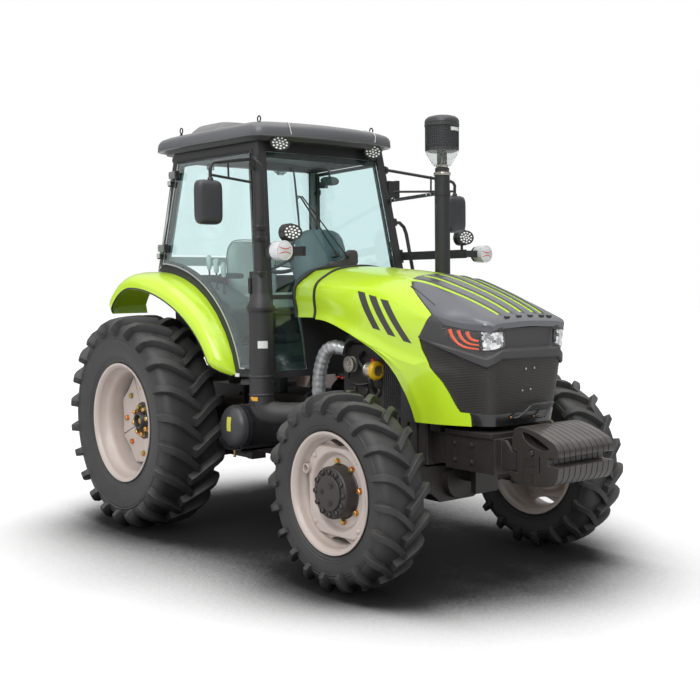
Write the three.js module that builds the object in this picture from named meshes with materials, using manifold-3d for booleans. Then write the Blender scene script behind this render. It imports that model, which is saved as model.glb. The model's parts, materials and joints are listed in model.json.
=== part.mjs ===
// Four-wheel-drive farm tractor with a cab, front suitcase weights and a rear three-point hitch.
// Millimetres, +X forward, +Y to the tractor's left, +Z up. Everything is laid out from the middle of the rear
// axle on the ground, and the finished group is moved so that its origin is the middle of its own footprint.
import * as THREE from "three";
import { mergeVertices } from "three/addons/utils/BufferGeometryUtils.js";
import Module from "manifold-3d";

const wasm = await Module();
wasm.setup();

// ---- Driving dimensions ------------------------------------------------------------------------------------
const SEAT = 0.3; // gap between faces that rest on each other
const RUN = 0.5; // gap at pins, journals and thrust faces that turn
const DEG = Math.PI / 180;

const wheelbase = 2195;
const rearWheel = { tyre: 730, width: 430, track: 1626, flange: 406, seat: 384, rim: 380, disc: 0 };
const frontWheel = { tyre: 540, width: 290, track: 1588, flange: 330, seat: 308, rim: 254, disc: 30 };
const kingpinY = 600;

// Cab. The side wall is a plane: half width = base - byX * x - byZ * z.
const cabWall = { base: 856, byX: 0.0914, byZ: 0.0972 };
const cabFloorZ = 1110;
const cabSillZ = 1080;
const cabRailZ = 2560;
const sillHeight = 42;
const railHeight = 60;
const pillar = { frontX: 1000, frontLean: 0.172, rearX: 0, rearLean: 0.145, wide: 70, rearWide: 60, thick: 60 };
const rearPillarFootZ = 1870;
const doorGap = 8;
const doorFrame = { wide: 36, thick: 30 };
const glassThick = 6;
const windscreenFootZ = 1600;
const tub = { half: 565, wall: 10, platformX: 560, platformZ: 1250, rearX: 22 };

// Rear fender: one large arc over the wheel, then a tighter one down its tail.
const fenderArc = { x: -10, z: 755, r: 1000, from: 20 };
const fenderTail = { r: 480, to: 148 };
const fenderPlate = { thick: 8, drop: 40, lip: 70 };
const doorSealHeight = 46;
const sealLift = 4;

// Bonnet
const bonnetRearX = 1400;
const cowlGap = 14;
const bonnetSkin = 9;
const bonnetFootZ = 862;

// Front end
const frontFrame = { x0: 2250, x1: 2790, half: 264, z0: 635, z1: 825 };
const weights = { count: 10, thick: 40, pitch: 44.5, x0: 2876, x1: 3184, z0: 600, z1: 902, seatZ: 660, hookZ: 792 };

const exhaust = { x: 1290, y: -712, muffler: 73, pipe: 35 };
const intake = { x: 1650, y: 462, pipe: 50, drum: 108 };

// ---- Shape helpers -----------------------------------------------------------------------------------------
const V = (x, y, z) => new THREE.Vector3(x, y, z);

function weld(geometry) {
  const bare = geometry.clone();
  for (const name of Object.keys(bare.attributes)) if (name !== "position") bare.deleteAttribute(name);
  return mergeVertices(bare, 1e-3);
}

// A closed mesh as a manifold solid, turned the right way out whichever way its faces were listed.
function solid(geometry) {
  const mesh = weld(geometry);
  const tris = new Uint32Array(mesh.index.array);
  const make = () =>
    new wasm.Manifold(new wasm.Mesh({ numProp: 3, vertProperties: mesh.attributes.position.array, triVerts: tris }));
  const first = make();
  if (first.volume() >= 0) return first;
  for (let i = 0; i < tris.length; i += 3) [tris[i + 1], tris[i + 2]] = [tris[i + 2], tris[i + 1]];
  return make();
}

const join = (...solids) => solids.flat().reduce((a, b) => a.add(b));
const cut = (body, ...tools) => tools.flat().reduce((a, b) => a.subtract(b), body);

function geometryOf(body) {
  const mesh = body.getMesh();
  const step = mesh.numProp;
  const positions = new Float32Array(mesh.numVert * 3);
  for (let i = 0; i < mesh.numVert; i++) {
    positions.set(mesh.vertProperties.subarray(i * step, i * step + 3), i * 3);
  }
  const geometry = new THREE.BufferGeometry();
  geometry.setAttribute("position", new THREE.BufferAttribute(positions, 3));
  geometry.setIndex(new THREE.BufferAttribute(new Uint32Array(mesh.triVerts), 1));
  return geometry;
}

function warp(geometry, move) {
  const at = geometry.attributes.position;
  const p = new THREE.Vector3();
  for (let i = 0; i < at.count; i++) {
    p.fromBufferAttribute(at, i);
    move(p);
    at.setXYZ(i, p.x, p.y, p.z);
  }
  return geometry;
}

// The same solid on the other side of the tractor.
function mirrored(body) {
  const geometry = warp(geometryOf(body), (p) => (p.y = -p.y));
  const order = geometry.index.array;
  for (let i = 0; i < order.length; i += 3) [order[i + 1], order[i + 2]] = [order[i + 2], order[i + 1]];
  return solid(geometry);
}

const warped = (body, move) => solid(warp(geometryOf(body), move));

function block(x0, x1, y0, y1, z0, z1) {
  const box = new THREE.BoxGeometry(x1 - x0, y1 - y0, z1 - z0);
  return solid(box.translate((x0 + x1) / 2, (y0 + y1) / 2, (z0 + z1) / 2));
}

const shapeOf = (outline) => new THREE.Shape(outline.map(([a, b]) => new THREE.Vector2(a, b)));
const extruded = (outline, depth) => new THREE.ExtrudeGeometry(shapeOf(outline), { depth, bevelEnabled: false });

// Plates cut to an outline: sidePlate takes [x, z] points, frontPlate [y, z] and topPlate [x, y].
const sidePlate = (outline, y0, y1) => solid(extruded(outline, y1 - y0).rotateX(Math.PI / 2).translate(0, y1, 0));
const topPlate = (outline, z0, z1) => solid(extruded(outline, z1 - z0).translate(0, 0, z0));
function frontPlate(outline, x0, x1) {
  const turn = new THREE.Matrix4().makeBasis(V(0, 1, 0), V(0, 0, 1), V(1, 0, 0));
  return solid(extruded(outline, x1 - x0).applyMatrix4(turn).translate(x0, 0, 0));
}

const along = (from, to) => new THREE.Quaternion().setFromUnitVectors(V(0, 1, 0), to.clone().sub(from).normalize());

function rod(from, to, radius, sides = 16, endRadius = radius) {
  const bar = new THREE.CylinderGeometry(endRadius, radius, from.distanceTo(to), sides);
  bar.applyQuaternion(along(from, to));
  return solid(bar.translate(...from.clone().add(to).multiplyScalar(0.5).toArray()));
}

// A straight bar of rectangular section, its width kept level.
function bar(from, to, wide, tall) {
  const forward = to.clone().sub(from).normalize();
  const side = V(0, 0, 1).cross(forward);
  if (side.length() < 1e-3) side.set(0, 1, 0);
  side.normalize();
  const up = forward.clone().cross(side);
  const box = new THREE.BoxGeometry(from.distanceTo(to), wide, tall);
  box.applyMatrix4(new THREE.Matrix4().makeBasis(forward, side, up));
  return solid(box.translate(...from.clone().add(to).multiplyScalar(0.5).toArray()));
}

// A round tube along a smooth curve through the points, or with tight bends when it is straight between them.
function pipe(points, radius, { sides = 12, steps = 24, tension = 0.5 } = {}) {
  const section = new THREE.Shape();
  for (let i = 0; i < sides; i++) {
    const a = (2 * Math.PI * i) / sides;
    section[i ? "lineTo" : "moveTo"](radius * Math.cos(a), radius * Math.sin(a));
  }
  const path = new THREE.CatmullRomCurve3(points, false, "catmullrom", tension);
  return solid(new THREE.ExtrudeGeometry(section, { steps, extrudePath: path, bevelEnabled: false }));
}

// Turned parts. A profile is a list of [radius, height] and closes on itself or on the axis.
// A wheel's flats are as far out as its radius says, and one of them stands on the ground.
const wheelSides = 20;
function turnedY(profile, sides = wheelSides) {
  const flat = Math.cos(Math.PI / sides);
  const points = [...profile, profile[0]].map(([r, h]) => new THREE.Vector2(r / flat, h));
  return solid(new THREE.LatheGeometry(points, sides).rotateY(Math.PI / sides));
}
function turnedZ(profile, sides = 24) {
  const points = [...profile, profile[0]].map(([r, h]) => new THREE.Vector2(r, h));
  return solid(new THREE.LatheGeometry(points, sides).rotateX(Math.PI / 2));
}
const moved = (body, x, y, z) => warped(body, (p) => p.add(V(x, y, z)));

// A skin through rings of points, closed by a flat cap at each end.
function loft(rings) {
  const n = rings[0].length;
  const positions = rings.flat().flatMap((p) => [p.x, p.y, p.z]);
  const index = [];
  for (let r = 0; r + 1 < rings.length; r++) {
    for (let i = 0; i < n; i++) {
      const [a, b] = [r * n + i, r * n + ((i + 1) % n)];
      index.push(a, b, b + n, a, b + n, a + n);
    }
  }
  const cap = (ring, first, flip) => {
    const normal = V(0, 0, 0);
    ring.forEach((p, i) => normal.add(p.clone().cross(ring[(i + 1) % n])));
    normal.normalize();
    const u = ring[1].clone().sub(ring[0]).normalize();
    const v = normal.clone().cross(u);
    const flat = ring.map((p) => new THREE.Vector2(p.dot(u), p.dot(v)));
    for (const [a, b, c] of THREE.ShapeUtils.triangulateShape(flat, [])) {
      index.push(...(flip ? [first + a, first + c, first + b] : [first + a, first + b, first + c]));
    }
  };
  cap(rings[0], 0, true);
  cap(rings[rings.length - 1], (rings.length - 1) * n, false);
  const geometry = new THREE.BufferGeometry();
  geometry.setAttribute("position", new THREE.Float32BufferAttribute(positions, 3));
  geometry.setIndex(index);
  return solid(geometry);
}

// ---- Materials ---------------------------------------------------------------------------------------------
const finish = (color, roughness, metalness) => new THREE.MeshStandardMaterial({ color, roughness, metalness });
const materials = {
  greenPaint: finish("#b8dc28", 0.35, 0),
  greyPaint: finish("#5a5a60", 0.5, 0.1),
  blackPaint: finish("#2b2c2e", 0.55, 0.1),
  castIron: finish("#35322f", 0.65, 0.3),
  rimPaint: finish("#b9aca6", 0.5, 0.1),
  tyreRubber: finish("#3a3a3a", 0.85, 0),
  glass: finish("#bfe3e2", 0.08, 0),
  lampGlass: finish("#dfe4e6", 0.1, 0),
  blackPlastic: finish("#333438", 0.6, 0),
  seatCloth: finish("#3b3d40", 0.9, 0),
};

const tractor = new THREE.Group();
function add(name, body, material) {
  const mesh = new THREE.Mesh(geometryOf(body), materials[material]);
  mesh.name = name;
  tractor.add(mesh);
}
function addPair(name, rightBody, material) {
  add(`${name}_right`, rightBody, material);
  add(`${name}_left`, mirrored(rightBody), material);
}

// ---- Wheels ------------------------------------------------------------------------------------------------
const rearAxleZ = rearWheel.tyre;
const frontAxleZ = frontWheel.tyre;
const rearY = rearWheel.track / 2;
const frontY = frontWheel.track / 2;
const spindleRadius = 45;
const spindleBore = 45.8; // across the bore's flats, so that the spindle's corners clear them

function tyre({ tyre: r, width, seat, flange, rim }) {
  const [half, bead] = [width / 2, rim / 2 - 18];
  const side = (s) => [
    [seat + SEAT, s * bead],
    [flange + 4, s * bead],
    [flange + (r - flange) * 0.45, s * half],
    [r - 34, s * half * 0.96],
    [r, s * half * 0.7],
  ];
  return turnedY([...side(-1), ...side(1).reverse()]);
}

const discThick = 14;
function rim({ flange, seat, rim: wide, disc }, hubBore, hubRadius, hubDepth) {
  const [half, wall] = [wide / 2, 10];
  const inside = seat - 20;
  const barrel = turnedY([
    [flange, -half],
    [flange, -half + wall],
    [seat, -half + 16],
    [seat, half - 16],
    [flange, half - wall],
    [flange, half],
    [inside, half - 24],
    [inside, -half + 24],
  ]);
  const plate = turnedY([
    [hubBore, disc - hubDepth],
    [hubRadius, disc - hubDepth],
    [hubRadius, disc - discThick],
    [inside + wall, disc - discThick],
    [inside + wall, disc],
    [hubBore, disc],
  ]);
  return join(barrel, plate);
}

// The right-hand wheels face -Y, so their outer side is the low end of each profile.
const faceRight = (body, x, y, z) => moved(mirrored(body), x, -y, z);
const rearRim = rim(rearWheel, spindleBore, 150, 46);
addPair("rear_tyre", faceRight(tyre(rearWheel), 0, rearY, rearAxleZ), "tyreRubber");
addPair("rear_rim", faceRight(rearRim, 0, rearY, rearAxleZ), "rimPaint");

// The front hub's drum stands out through the rim's disc, and its flange carries the disc from behind.
const hub = { radius: 140, face: 121, neck: 98, flange: 190, flangeThick: 16, long: 60 };
const frontRim = rim(frontWheel, hub.radius + 4, 185, discThick + 0.5);
const flangeFace = frontWheel.disc - discThick - 0.5 - SEAT;
const hubBack = frontWheel.disc - hub.long;
const frontHub = turnedY(
  [
    [spindleBore, hubBack],
    [hub.neck, hubBack],
    [hub.neck, flangeFace - hub.flangeThick],
    [hub.flange, flangeFace - hub.flangeThick],
    [hub.flange, flangeFace],
    [hub.radius, flangeFace],
    [hub.radius, hub.face],
    [0, hub.face],
    [0, hub.face - 30],
    [spindleBore, hub.face - 30],
  ],
  16,
);
addPair("front_tyre", faceRight(tyre(frontWheel), wheelbase, frontY, frontAxleZ), "tyreRubber");
addPair("front_rim", faceRight(frontRim, wheelbase, frontY, frontAxleZ), "rimPaint");
addPair("front_hub", faceRight(frontHub, wheelbase, frontY, frontAxleZ), "castIron");

// ---- Driveline and chassis ---------------------------------------------------------------------------------
const rockshaft = { x: -150, z: 1010, radius: 34, half: 262 };
const linkPin = { x: -60, y: 245, z: 470, radius: 17 };
const housing = { half: 230, x0: -260, x1: 360, z0: 480, z1: 960 };
const gearbox = { half: 195, x1: 1500, z0: 500, z1: 930 };
const engine = { half: 245, x0: gearbox.x1 + SEAT, x1: frontFrame.x0 - SEAT, z0: 560, z1: 1290 };

function transmissionBody() {
  const body = [
    block(housing.x0, housing.x1, -housing.half, housing.half, housing.z0, housing.z1),
    block(housing.x1 - 1, gearbox.x1, -gearbox.half, gearbox.half, gearbox.z0, gearbox.z1),
    rod(V(0, -rearY + 50, rearAxleZ), V(0, rearY - 50, rearAxleZ), 118, 16),
    rod(V(0, -rearY - 6, rearAxleZ), V(0, rearY + 6, rearAxleZ), spindleRadius, 16),
  ];
  const lug = [
    [rockshaft.x - 62, housing.z1 - 1],
    [rockshaft.x + 90, housing.z1 - 1],
    [rockshaft.x + 50, rockshaft.z + 62],
    [rockshaft.x - 40, rockshaft.z + 62],
    [rockshaft.x - 62, rockshaft.z + 20],
  ];
  body.push(sidePlate(lug, -200, 200));
  // Ears that carry the lower links' pins, and the clevis for a top link.
  for (const side of [-1, 1]) {
    const y = side * linkPin.y;
    body.push(block(linkPin.x - 40, linkPin.x + 60, Math.min(y, y - side * 16), Math.max(y, y - side * 16), 430, 500));
    body.push(rod(V(linkPin.x, y - side * 12, linkPin.z), V(linkPin.x, y + side * 40, linkPin.z), linkPin.radius));
    body.push(block(housing.x0 - 70, housing.x0 + 1, side * 28 - 8, side * 28 + 8, 830, 930));
  }
  body.push(rod(V(housing.x0 - 90, 0, 640), V(housing.x0 + 1, 0, 640), 24, 12));
  const bore = rod(
    V(rockshaft.x, -300, rockshaft.z),
    V(rockshaft.x, 300, rockshaft.z),
    rockshaft.radius + RUN + 0.4,
    20,
  );
  return cut(join(body), bore);
}
add("transmission", transmissionBody(), "castIron");

add(
  "engine",
  join(
    block(engine.x0, engine.x1, -engine.half, engine.half, engine.z0 + 60, engine.z1),
    block(engine.x0 + 60, engine.x1 - 330, -170, 170, 440, engine.z0 + 61),
  ),
  "castIron",
);

const axlePivotZ = 560;
function frontFrameBody() {
  const { x0, x1, half, z0, z1 } = frontFrame;
  const body = [
    block(x0, x1, -200, 200, z1 - 60, z1),
    block(2420, x1, -half, half, z0, z1),
    block(x0, 2420 + 1, -200, -170, 640, z1),
    block(x0, 2420 + 1, 170, 200, 640, z1),
    block(2440, 2480, -90, 90, axlePivotZ - 90, z1 - 10),
    block(2430, x1 - 10, -half - 16, half + 16, z1, bonnetFootZ - RUN - 8),
  ];
  // The weight carrier: two brackets from the box's front face to the bar that the weights hook over.
  const hook = weights.x0 + 22;
  const bracket = [
    [x1 - 1, weights.seatZ + 10],
    [hook + 10, weights.seatZ + 10],
    [hook + 10, weights.hookZ - 26],
    [hook - 34, weights.hookZ - 26],
    [x1 + 30, z1 - 6],
    [x1 - 1, z1 - 6],
  ];
  for (const y of [-215, 195]) body.push(sidePlate(bracket, y, y + 20));
  body.push(block(hook, hook + 28, -218, 218, weights.seatZ + SEAT, weights.hookZ - SEAT));
  return join(body);
}
add("front_frame", frontFrameBody(), "castIron");

const kingpin = { radius: 52, z0: 452, z1: 628 };
function frontAxleBody() {
  const beam = [
    [-kingpinY + 30, 500],
    [-220, 455],
    [-150, 400],
    [120, 400],
    [220, 455],
    [kingpinY - 30, 500],
    [kingpinY - 30, 590],
    [240, 610],
    [-240, 610],
    [-kingpinY + 30, 590],
  ];
  const body = [
    frontPlate(beam, wheelbase - 62, wheelbase + 62),
    rod(V(wheelbase - 170, -40, 515), V(wheelbase + 110, -40, 515), 98, 14),
    rod(V(wheelbase + 50, 0, axlePivotZ), V(2440 - SEAT, 0, axlePivotZ), 46, 12),
  ];
  for (const side of [-1, 1]) {
    const y = side * kingpinY;
    body.push(rod(V(wheelbase, y, kingpin.z0), V(wheelbase, y, kingpin.z1), kingpin.radius, 16));
  }
  return join(body);
}
add("front_axle", frontAxleBody(), "castIron");

// Each knuckle holds the kingpin boss between two jaws and carries the wheel's spindle.
function knuckleBody() {
  const y = -kingpinY;
  const jaw = (z0, z1) => join(rod(V(wheelbase, y, z0), V(wheelbase, y, z1), 66, 16), block(wheelbase - 50, wheelbase + 50, y - 105, y, z0, z1));
  return join(
    jaw(kingpin.z1 + RUN, kingpin.z1 + 34),
    jaw(kingpin.z0 - 34, kingpin.z0 - RUN),
    block(wheelbase - 62, wheelbase + 62, y - 118, y - 72, kingpin.z0 - 34, kingpin.z1 + 34),
    rod(V(wheelbase, y - 100, frontAxleZ), V(wheelbase, -frontY + 34, frontAxleZ), 88, 16),
    rod(V(wheelbase, y - 100, frontAxleZ), V(wheelbase, -frontY - hub.face + 40, frontAxleZ), spindleRadius, 16),
    block(wheelbase - 190, wheelbase - 50, y - 30, y + 14, kingpin.z0 - 34, kingpin.z0 - 8),
  );
}
addPair("front_knuckle", knuckleBody(), "castIron");

add(
  "radiator",
  join(
    block(2300, 2380, -270, 270, frontFrame.z1 + SEAT, 1420),
    block(2262, 2301, -235, 235, frontFrame.z1 + 40, 1380),
  ),
  "blackPaint",
);

// Suitcase weights: the plates stand side by side, hooked over the carrier's bar and clamped by one long bolt.
function weightsBody() {
  const { count, thick, pitch, x0, x1, z0, z1, seatZ, hookZ } = weights;
  const bar = x0 + 22;
  const outline = [
    [x0 - 46, seatZ],
    [x0 + 20, z0],
    [x0 + 210, z0 + 6],
    [x1 - 14, z0 + 34],
    [x1, z0 + 110],
    [x1, z1 - 92],
    [x1 - 26, z1 - 66],
    [x1 - 150, z1 - 18],
    [x0 + 40, z1],
    [x0 + 8, z1 - 14],
    [x0 - 8, hookZ - 20],
    [bar - SEAT, hookZ - 20],
    [bar - SEAT, hookZ],
    [bar + 28 + SEAT, hookZ],
    [bar + 28 + SEAT, seatZ],
  ];
  const handle = [
    [x0 + 90, z1 - 42],
    [x1 - 76, z1 - 66],
    [x1 - 66, z1 - 88],
    [x0 + 130, z1 - 96],
  ];
  const plates = [];
  for (let i = 0; i < count; i++) {
    const y = (i - (count - 1) / 2) * pitch;
    plates.push(cut(sidePlate(outline, y - thick / 2, y + thick / 2), sidePlate(handle, y - thick, y + thick)));
  }
  const reach = ((count - 1) / 2) * pitch;
  plates.push(rod(V(x0 + 130, -reach, z0 + 130), V(x0 + 130, reach, z0 + 130), 50, 8));
  return join(plates);
}
add("front_weights", weightsBody(), "castIron");

// ---- Tanks and steps ---------------------------------------------------------------------------------------
const airTank = { x: 906, z: 755, radius: 138, y0: -722, y1: -gearbox.half - SEAT };
function airTankBody() {
  const { x, z, radius, y0, y1 } = airTank;
  const shell = turnedY(
    [
      [0, 0],
      [radius - 46, 8],
      [radius, 50],
      [radius, 420],
      [radius - 46, 462],
      [0, 470],
    ],
    16,
  );
  return join(
    moved(shell, x, y0, z),
    block(x - 70, x + 70, y0 + 60, y1, z - radius - 14, z - radius + 22),
    block(x - 60, x - 40, y0 + 90, y0 + 130, z - radius - 60, z - radius),
    block(x - 70, x + 70, y0 + 400, y1, z - 60, z + 60),
  );
}
add("air_tank", airTankBody(), "blackPaint");

const fuelTank = { x0: 790, x1: 1330, y0: gearbox.half + SEAT, y1: 560, z0: 520, z1: 1000 };
function fuelTankBody() {
  const { x0, x1, y0, y1, z0, z1 } = fuelTank;
  const soft = 50;
  const outline = [
    [x0 + soft, z0],
    [x1 - soft, z0],
    [x1, z0 + soft],
    [x1, z1 - soft],
    [x1 - soft, z1],
    [x0 + soft, z1],
    [x0, z1 - soft],
    [x0, z0 + soft],
  ];
  return sidePlate(outline, y0, y1);
}
add("fuel_tank", fuelTankBody(), "blackPlastic");

const step = { x0: 900, x1: 1180, y0: fuelTank.y1 + SEAT, y1: 790, low: 470, rise: 250 };
function stepsBody() {
  const { x0, x1, y0, y1, low, rise } = step;
  const body = [];
  for (const x of [x0, x1 - 14]) {
    body.push(block(x, x + 14, y0, y0 + 50, low, low + 2 * rise));
    for (let i = 0; i < 2; i++) {
      const z = low + i * rise;
      body.push(block(x, x + 14, y0, y1 - i * 70, z, z + 50));
    }
  }
  for (let i = 0; i < 2; i++) body.push(block(x0, x1, y0 + 30, y1 - i * 70, low + i * rise, low + i * rise + 14));
  return join(body);
}
add("steps_left", stepsBody(), "blackPaint");

// ---- Rear fenders ------------------------------------------------------------------------------------------
function fenderBody() {
  const { x, z, r, from } = fenderArc;
  const { thick, drop, lip } = fenderPlate;
  const inner = tub.half + SEAT;
  const stations = [];
  for (let a = from; a <= 90; a += 10) stations.push([x, z, r, a]);
  for (let a = 102; a <= fenderTail.to; a += 15) stations.push([x, z + r - fenderTail.r, fenderTail.r, a]);
  const rings = stations.map(([cx, cz, radius, angle]) => {
    const outer = 780 + 120 * THREE.MathUtils.smoothstep(angle, 25, 92);
    const skin = [
      [inner, 0],
      [cabWall.base - 150, 0],
      [outer - 55, -drop * 0.45],
      [outer - 16, -drop],
      [outer, -drop - 30],
      [outer, -drop - lip],
    ];
    const back = skin.map(([y, h], i) => [y - (i > 2 ? thick : i * 2), h - (i < 4 ? thick : 0)]).reverse();
    const [c, s] = [Math.cos(angle * DEG), Math.sin(angle * DEG)];
    return [...skin, ...back].map(([y, h]) => V(cx + (radius + h) * c, -y, cz + (radius + h) * s));
  });
  return loft(rings);
}
addPair("rear_fender", fenderBody(), "greenPaint");

// ---- Cab ---------------------------------------------------------------------------------------------------
const wallHalf = (x, z) => cabWall.base - cabWall.byX * x - cabWall.byZ * z;
const frontEdge = (z) => pillar.frontX + (cabRailZ - z) * pillar.frontLean;
const rearEdge = (z) => pillar.rearX + (z - rearPillarFootZ) * pillar.rearLean;
// Side parts are drawn flat, with y = 0 on the cab's outer face and outwards negative, then laid on the wall.
const onWall = (body) => warped(body, (p) => (p.y -= wallHalf(p.x, p.z)));
// Front and rear parts are drawn flat at x = 0 and then laid along the pillars.
const onFront = (body) => warped(body, (p) => (p.x += frontEdge(p.z)));
const onRear = (body) => warped(body, (p) => (p.x += rearEdge(p.z)));

// A foot that lies on the side wall, for what is bolted to it.
const footDepth = 22;
const wallFoot = (x, z, long, tall) =>
  onWall(block(x - long / 2, x + long / 2, -footDepth, -SEAT, z - tall / 2, z + tall / 2));
const offWall = (x, z, out) => V(x, -wallHalf(x, z) - out, z);

const sealRadius = fenderArc.r + sealLift;
function arcPoints(radius, fromAngle, toAngle, count) {
  const points = [];
  for (let i = 0; i <= count; i++) {
    const a = fromAngle + ((toAngle - fromAngle) * i) / count;
    points.push([fenderArc.x + radius * Math.cos(a), fenderArc.z + radius * Math.sin(a)]);
  }
  return points;
}
// Where the arc of that radius meets a level line, and where it meets the rear pillar's line moved forward.
const angleAtHeight = (radius, z) => Math.asin((z - fenderArc.z) / radius);
function angleAtPillar(radius, shift) {
  let z = rearPillarFootZ;
  for (let i = 0; i < 30; i++) {
    const across = rearEdge(z) + shift - fenderArc.x;
    z = fenderArc.z + Math.sqrt(radius * radius - across * across);
  }
  return Math.asin((z - fenderArc.z) / radius);
}

// The door opening's outline, drawn in by an inset on every side.
function openingOutline(inset) {
  const [bottom, top] = [cabSillZ + sillHeight + inset, cabRailZ - railHeight - inset];
  const radius = sealRadius + doorSealHeight + inset;
  const shift = pillar.rearWide + inset;
  const low = angleAtHeight(radius, bottom);
  return [
    [frontEdge(bottom) - pillar.wide - inset, bottom],
    [frontEdge(top) - pillar.wide - inset, top],
    [rearEdge(top) + shift, top],
    ...arcPoints(radius, angleAtPillar(radius, shift), low, 8),
  ];
}

const hingeLine = { shift: 42, out: 22, low: 1905, high: 2400, pin: 7, eye: 15, long: 34 };
const hingePoint = (z) => {
  const x = rearEdge(z) + hingeLine.shift;
  return V(x, -(wallHalf(x, z) + hingeLine.out), z);
};

function sideFrame() {
  const radius = sealRadius;
  const outline = [
    [frontEdge(cabSillZ), cabSillZ],
    [frontEdge(cabRailZ), cabRailZ],
    [rearEdge(cabRailZ), cabRailZ],
    ...arcPoints(radius, angleAtPillar(radius, 0), angleAtHeight(radius, cabSillZ), 8),
  ];
  const ring = cut(sidePlate(outline, 0, pillar.thick), sidePlate(openingOutline(0), -10, pillar.thick + 10));
  const body = [onWall(ring)];
  // Two pins stand on brackets at the rear pillar, and the door's eyes hang on them.
  const axis = hingePoint(hingeLine.high).sub(hingePoint(hingeLine.low)).normalize();
  for (const z of [hingeLine.low, hingeLine.high]) {
    const at = hingePoint(z);
    const foot = at.clone().addScaledVector(axis, -hingeLine.long);
    body.push(rod(foot, at.clone().addScaledVector(axis, hingeLine.long * 0.6), hingeLine.pin, 8));
    body.push(block(foot.x - 26, foot.x + 14, foot.y - 14, foot.y + 50, foot.z - 20, foot.z + 12));
  }
  return join(body);
}

function cabFrameBody() {
  const right = sideFrame();
  const inset = 30;
  const halfAt = (x, z) => wallHalf(x, z) - inset;
  const level = (x, z0, z1) => {
    const mid = (z0 + z1) / 2;
    return [
      [-halfAt(x(mid), mid), z0],
      [halfAt(x(mid), mid), z0],
      [halfAt(x(mid), mid), z1],
      [-halfAt(x(mid), mid), z1],
    ];
  };
  const body = [right, mirrored(right)];
  const frontBars = [
    [cabRailZ - railHeight, cabRailZ],
    [windscreenFootZ - 36, windscreenFootZ - 8],
    [cabSillZ, cabSillZ + sillHeight],
  ];
  for (const [z0, z1] of frontBars) body.push(onFront(frontPlate(level(frontEdge, z0, z1), -56, -4)));
  // The firewall closes the front between the two lower panes.
  const wall = [
    [-330, cabSillZ],
    [330, cabSillZ],
    [330, windscreenFootZ - 10],
    [-330, windscreenFootZ - 10],
  ];
  body.push(onFront(frontPlate(wall, -30, -8)));
  const rearBars = [
    [cabRailZ - railHeight, cabRailZ],
    [rearPillarFootZ - 70, rearPillarFootZ - 10],
  ];
  for (const [z0, z1] of rearBars) body.push(onRear(frontPlate(level(rearEdge, z0, z1), 4, 56)));
  // The rear window's hinge pins, each held at both ends under the rail.
  const { x, z } = rearHinge;
  for (const y of [-rearHingeY, rearHingeY]) {
    body.push(rod(V(x, y - 26, z), V(x, y + 26, z), rearPinRadius, 10));
    for (const end of [y - 26, y + 19]) {
      body.push(block(x - 8, x + 8, end, end + 7, z - 9, cabRailZ - railHeight));
      body.push(block(x - 8, x + 16, end, end + 7, cabRailZ - railHeight - 4, cabRailZ - railHeight + 16));
    }
  }
  return join(body);
}

function doorBody() {
  const { wide, thick } = doorFrame;
  const ring = cut(
    sidePlate(openingOutline(doorGap), 0, thick),
    sidePlate(openingOutline(doorGap + wide), -10, thick + 10),
  );
  const body = [onWall(ring)];
  const axis = hingePoint(hingeLine.high).sub(hingePoint(hingeLine.low)).normalize();
  for (const z of [hingeLine.low, hingeLine.high]) {
    const at = hingePoint(z);
    const foot = at.clone().addScaledVector(axis, -10);
    const top = at.clone().addScaledVector(axis, hingeLine.long * 0.6 + 8);
    const bore = rod(foot.clone().addScaledVector(axis, -5), top.clone().addScaledVector(axis, 5), hingeLine.pin + 0.8, 10);
    const eye = cut(rod(foot, top, hingeLine.eye, 10), bore);
    const tangent = V(1, -cabWall.byX * -1, 0).normalize();
    const start = at.clone().addScaledVector(tangent, hingeLine.eye - 2);
    const end = at.clone().addScaledVector(tangent, 62);
    body.push(eye, bar(start, end, 12, 34));
    const inner = end.clone().add(V(-4, 26, 0));
    body.push(block(end.x - 22, end.x, Math.min(end.y - 6, inner.y), Math.max(end.y + 6, inner.y), end.z - 17, end.z + 17));
  }
  // The outside handle sits low on the front edge.
  const [low, high] = [1570, 1730];
  const edge = (z) => frontEdge(z) - pillar.wide - doorGap;
  const handle = [
    [edge(low) - wide, low],
    [edge(low) - 6, low],
    [edge(high) - 6, high],
    [edge(high) - wide, high],
  ];
  body.push(onWall(sidePlate(handle, -30, 4)));
  return join(body);
}
addPair("door_frame", doorBody(), "blackPaint");
addPair(
  "door_glass",
  onWall(sidePlate(openingOutline(doorGap + doorFrame.wide + SEAT), 12, 12 + glassThick)),
  "glass",
);

function windscreenBody() {
  const top = cabRailZ - railHeight - SEAT;
  const bottom = windscreenFootZ - 8 + SEAT;
  const half = (z) => wallHalf(frontEdge(z), z) - pillar.thick - SEAT;
  const outline = [
    [-half(bottom), bottom],
    [half(bottom), bottom],
    [half(top), top],
    [-half(top), top],
  ];
  return onFront(frontPlate(outline, -24, -24 + glassThick));
}
add("windscreen", windscreenBody(), "glass");

function quarterGlassBody() {
  const [bottom, top] = [cabSillZ + sillHeight + SEAT, windscreenFootZ - 36 - SEAT];
  const half = (z) => wallHalf(frontEdge(z), z) - pillar.thick - SEAT;
  const outline = [
    [-half(bottom), bottom],
    [-330 - SEAT, bottom],
    [-330 - SEAT, top],
    [-half(top), top],
  ];
  return onFront(frontPlate(outline, -24, -24 + glassThick));
}
addPair("quarter_glass", quarterGlassBody(), "glass");

// The rear window is one pane, hung from the rear rail on two hinges.
const rearHinge = V(rearEdge(cabRailZ - railHeight - 16) - 6, 0, cabRailZ - railHeight - 16);
const rearHingeY = 300;
const rearPinRadius = 5;
const cabFrame = cabFrameBody();
add("cab_frame", cabFrame, "blackPaint");

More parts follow.
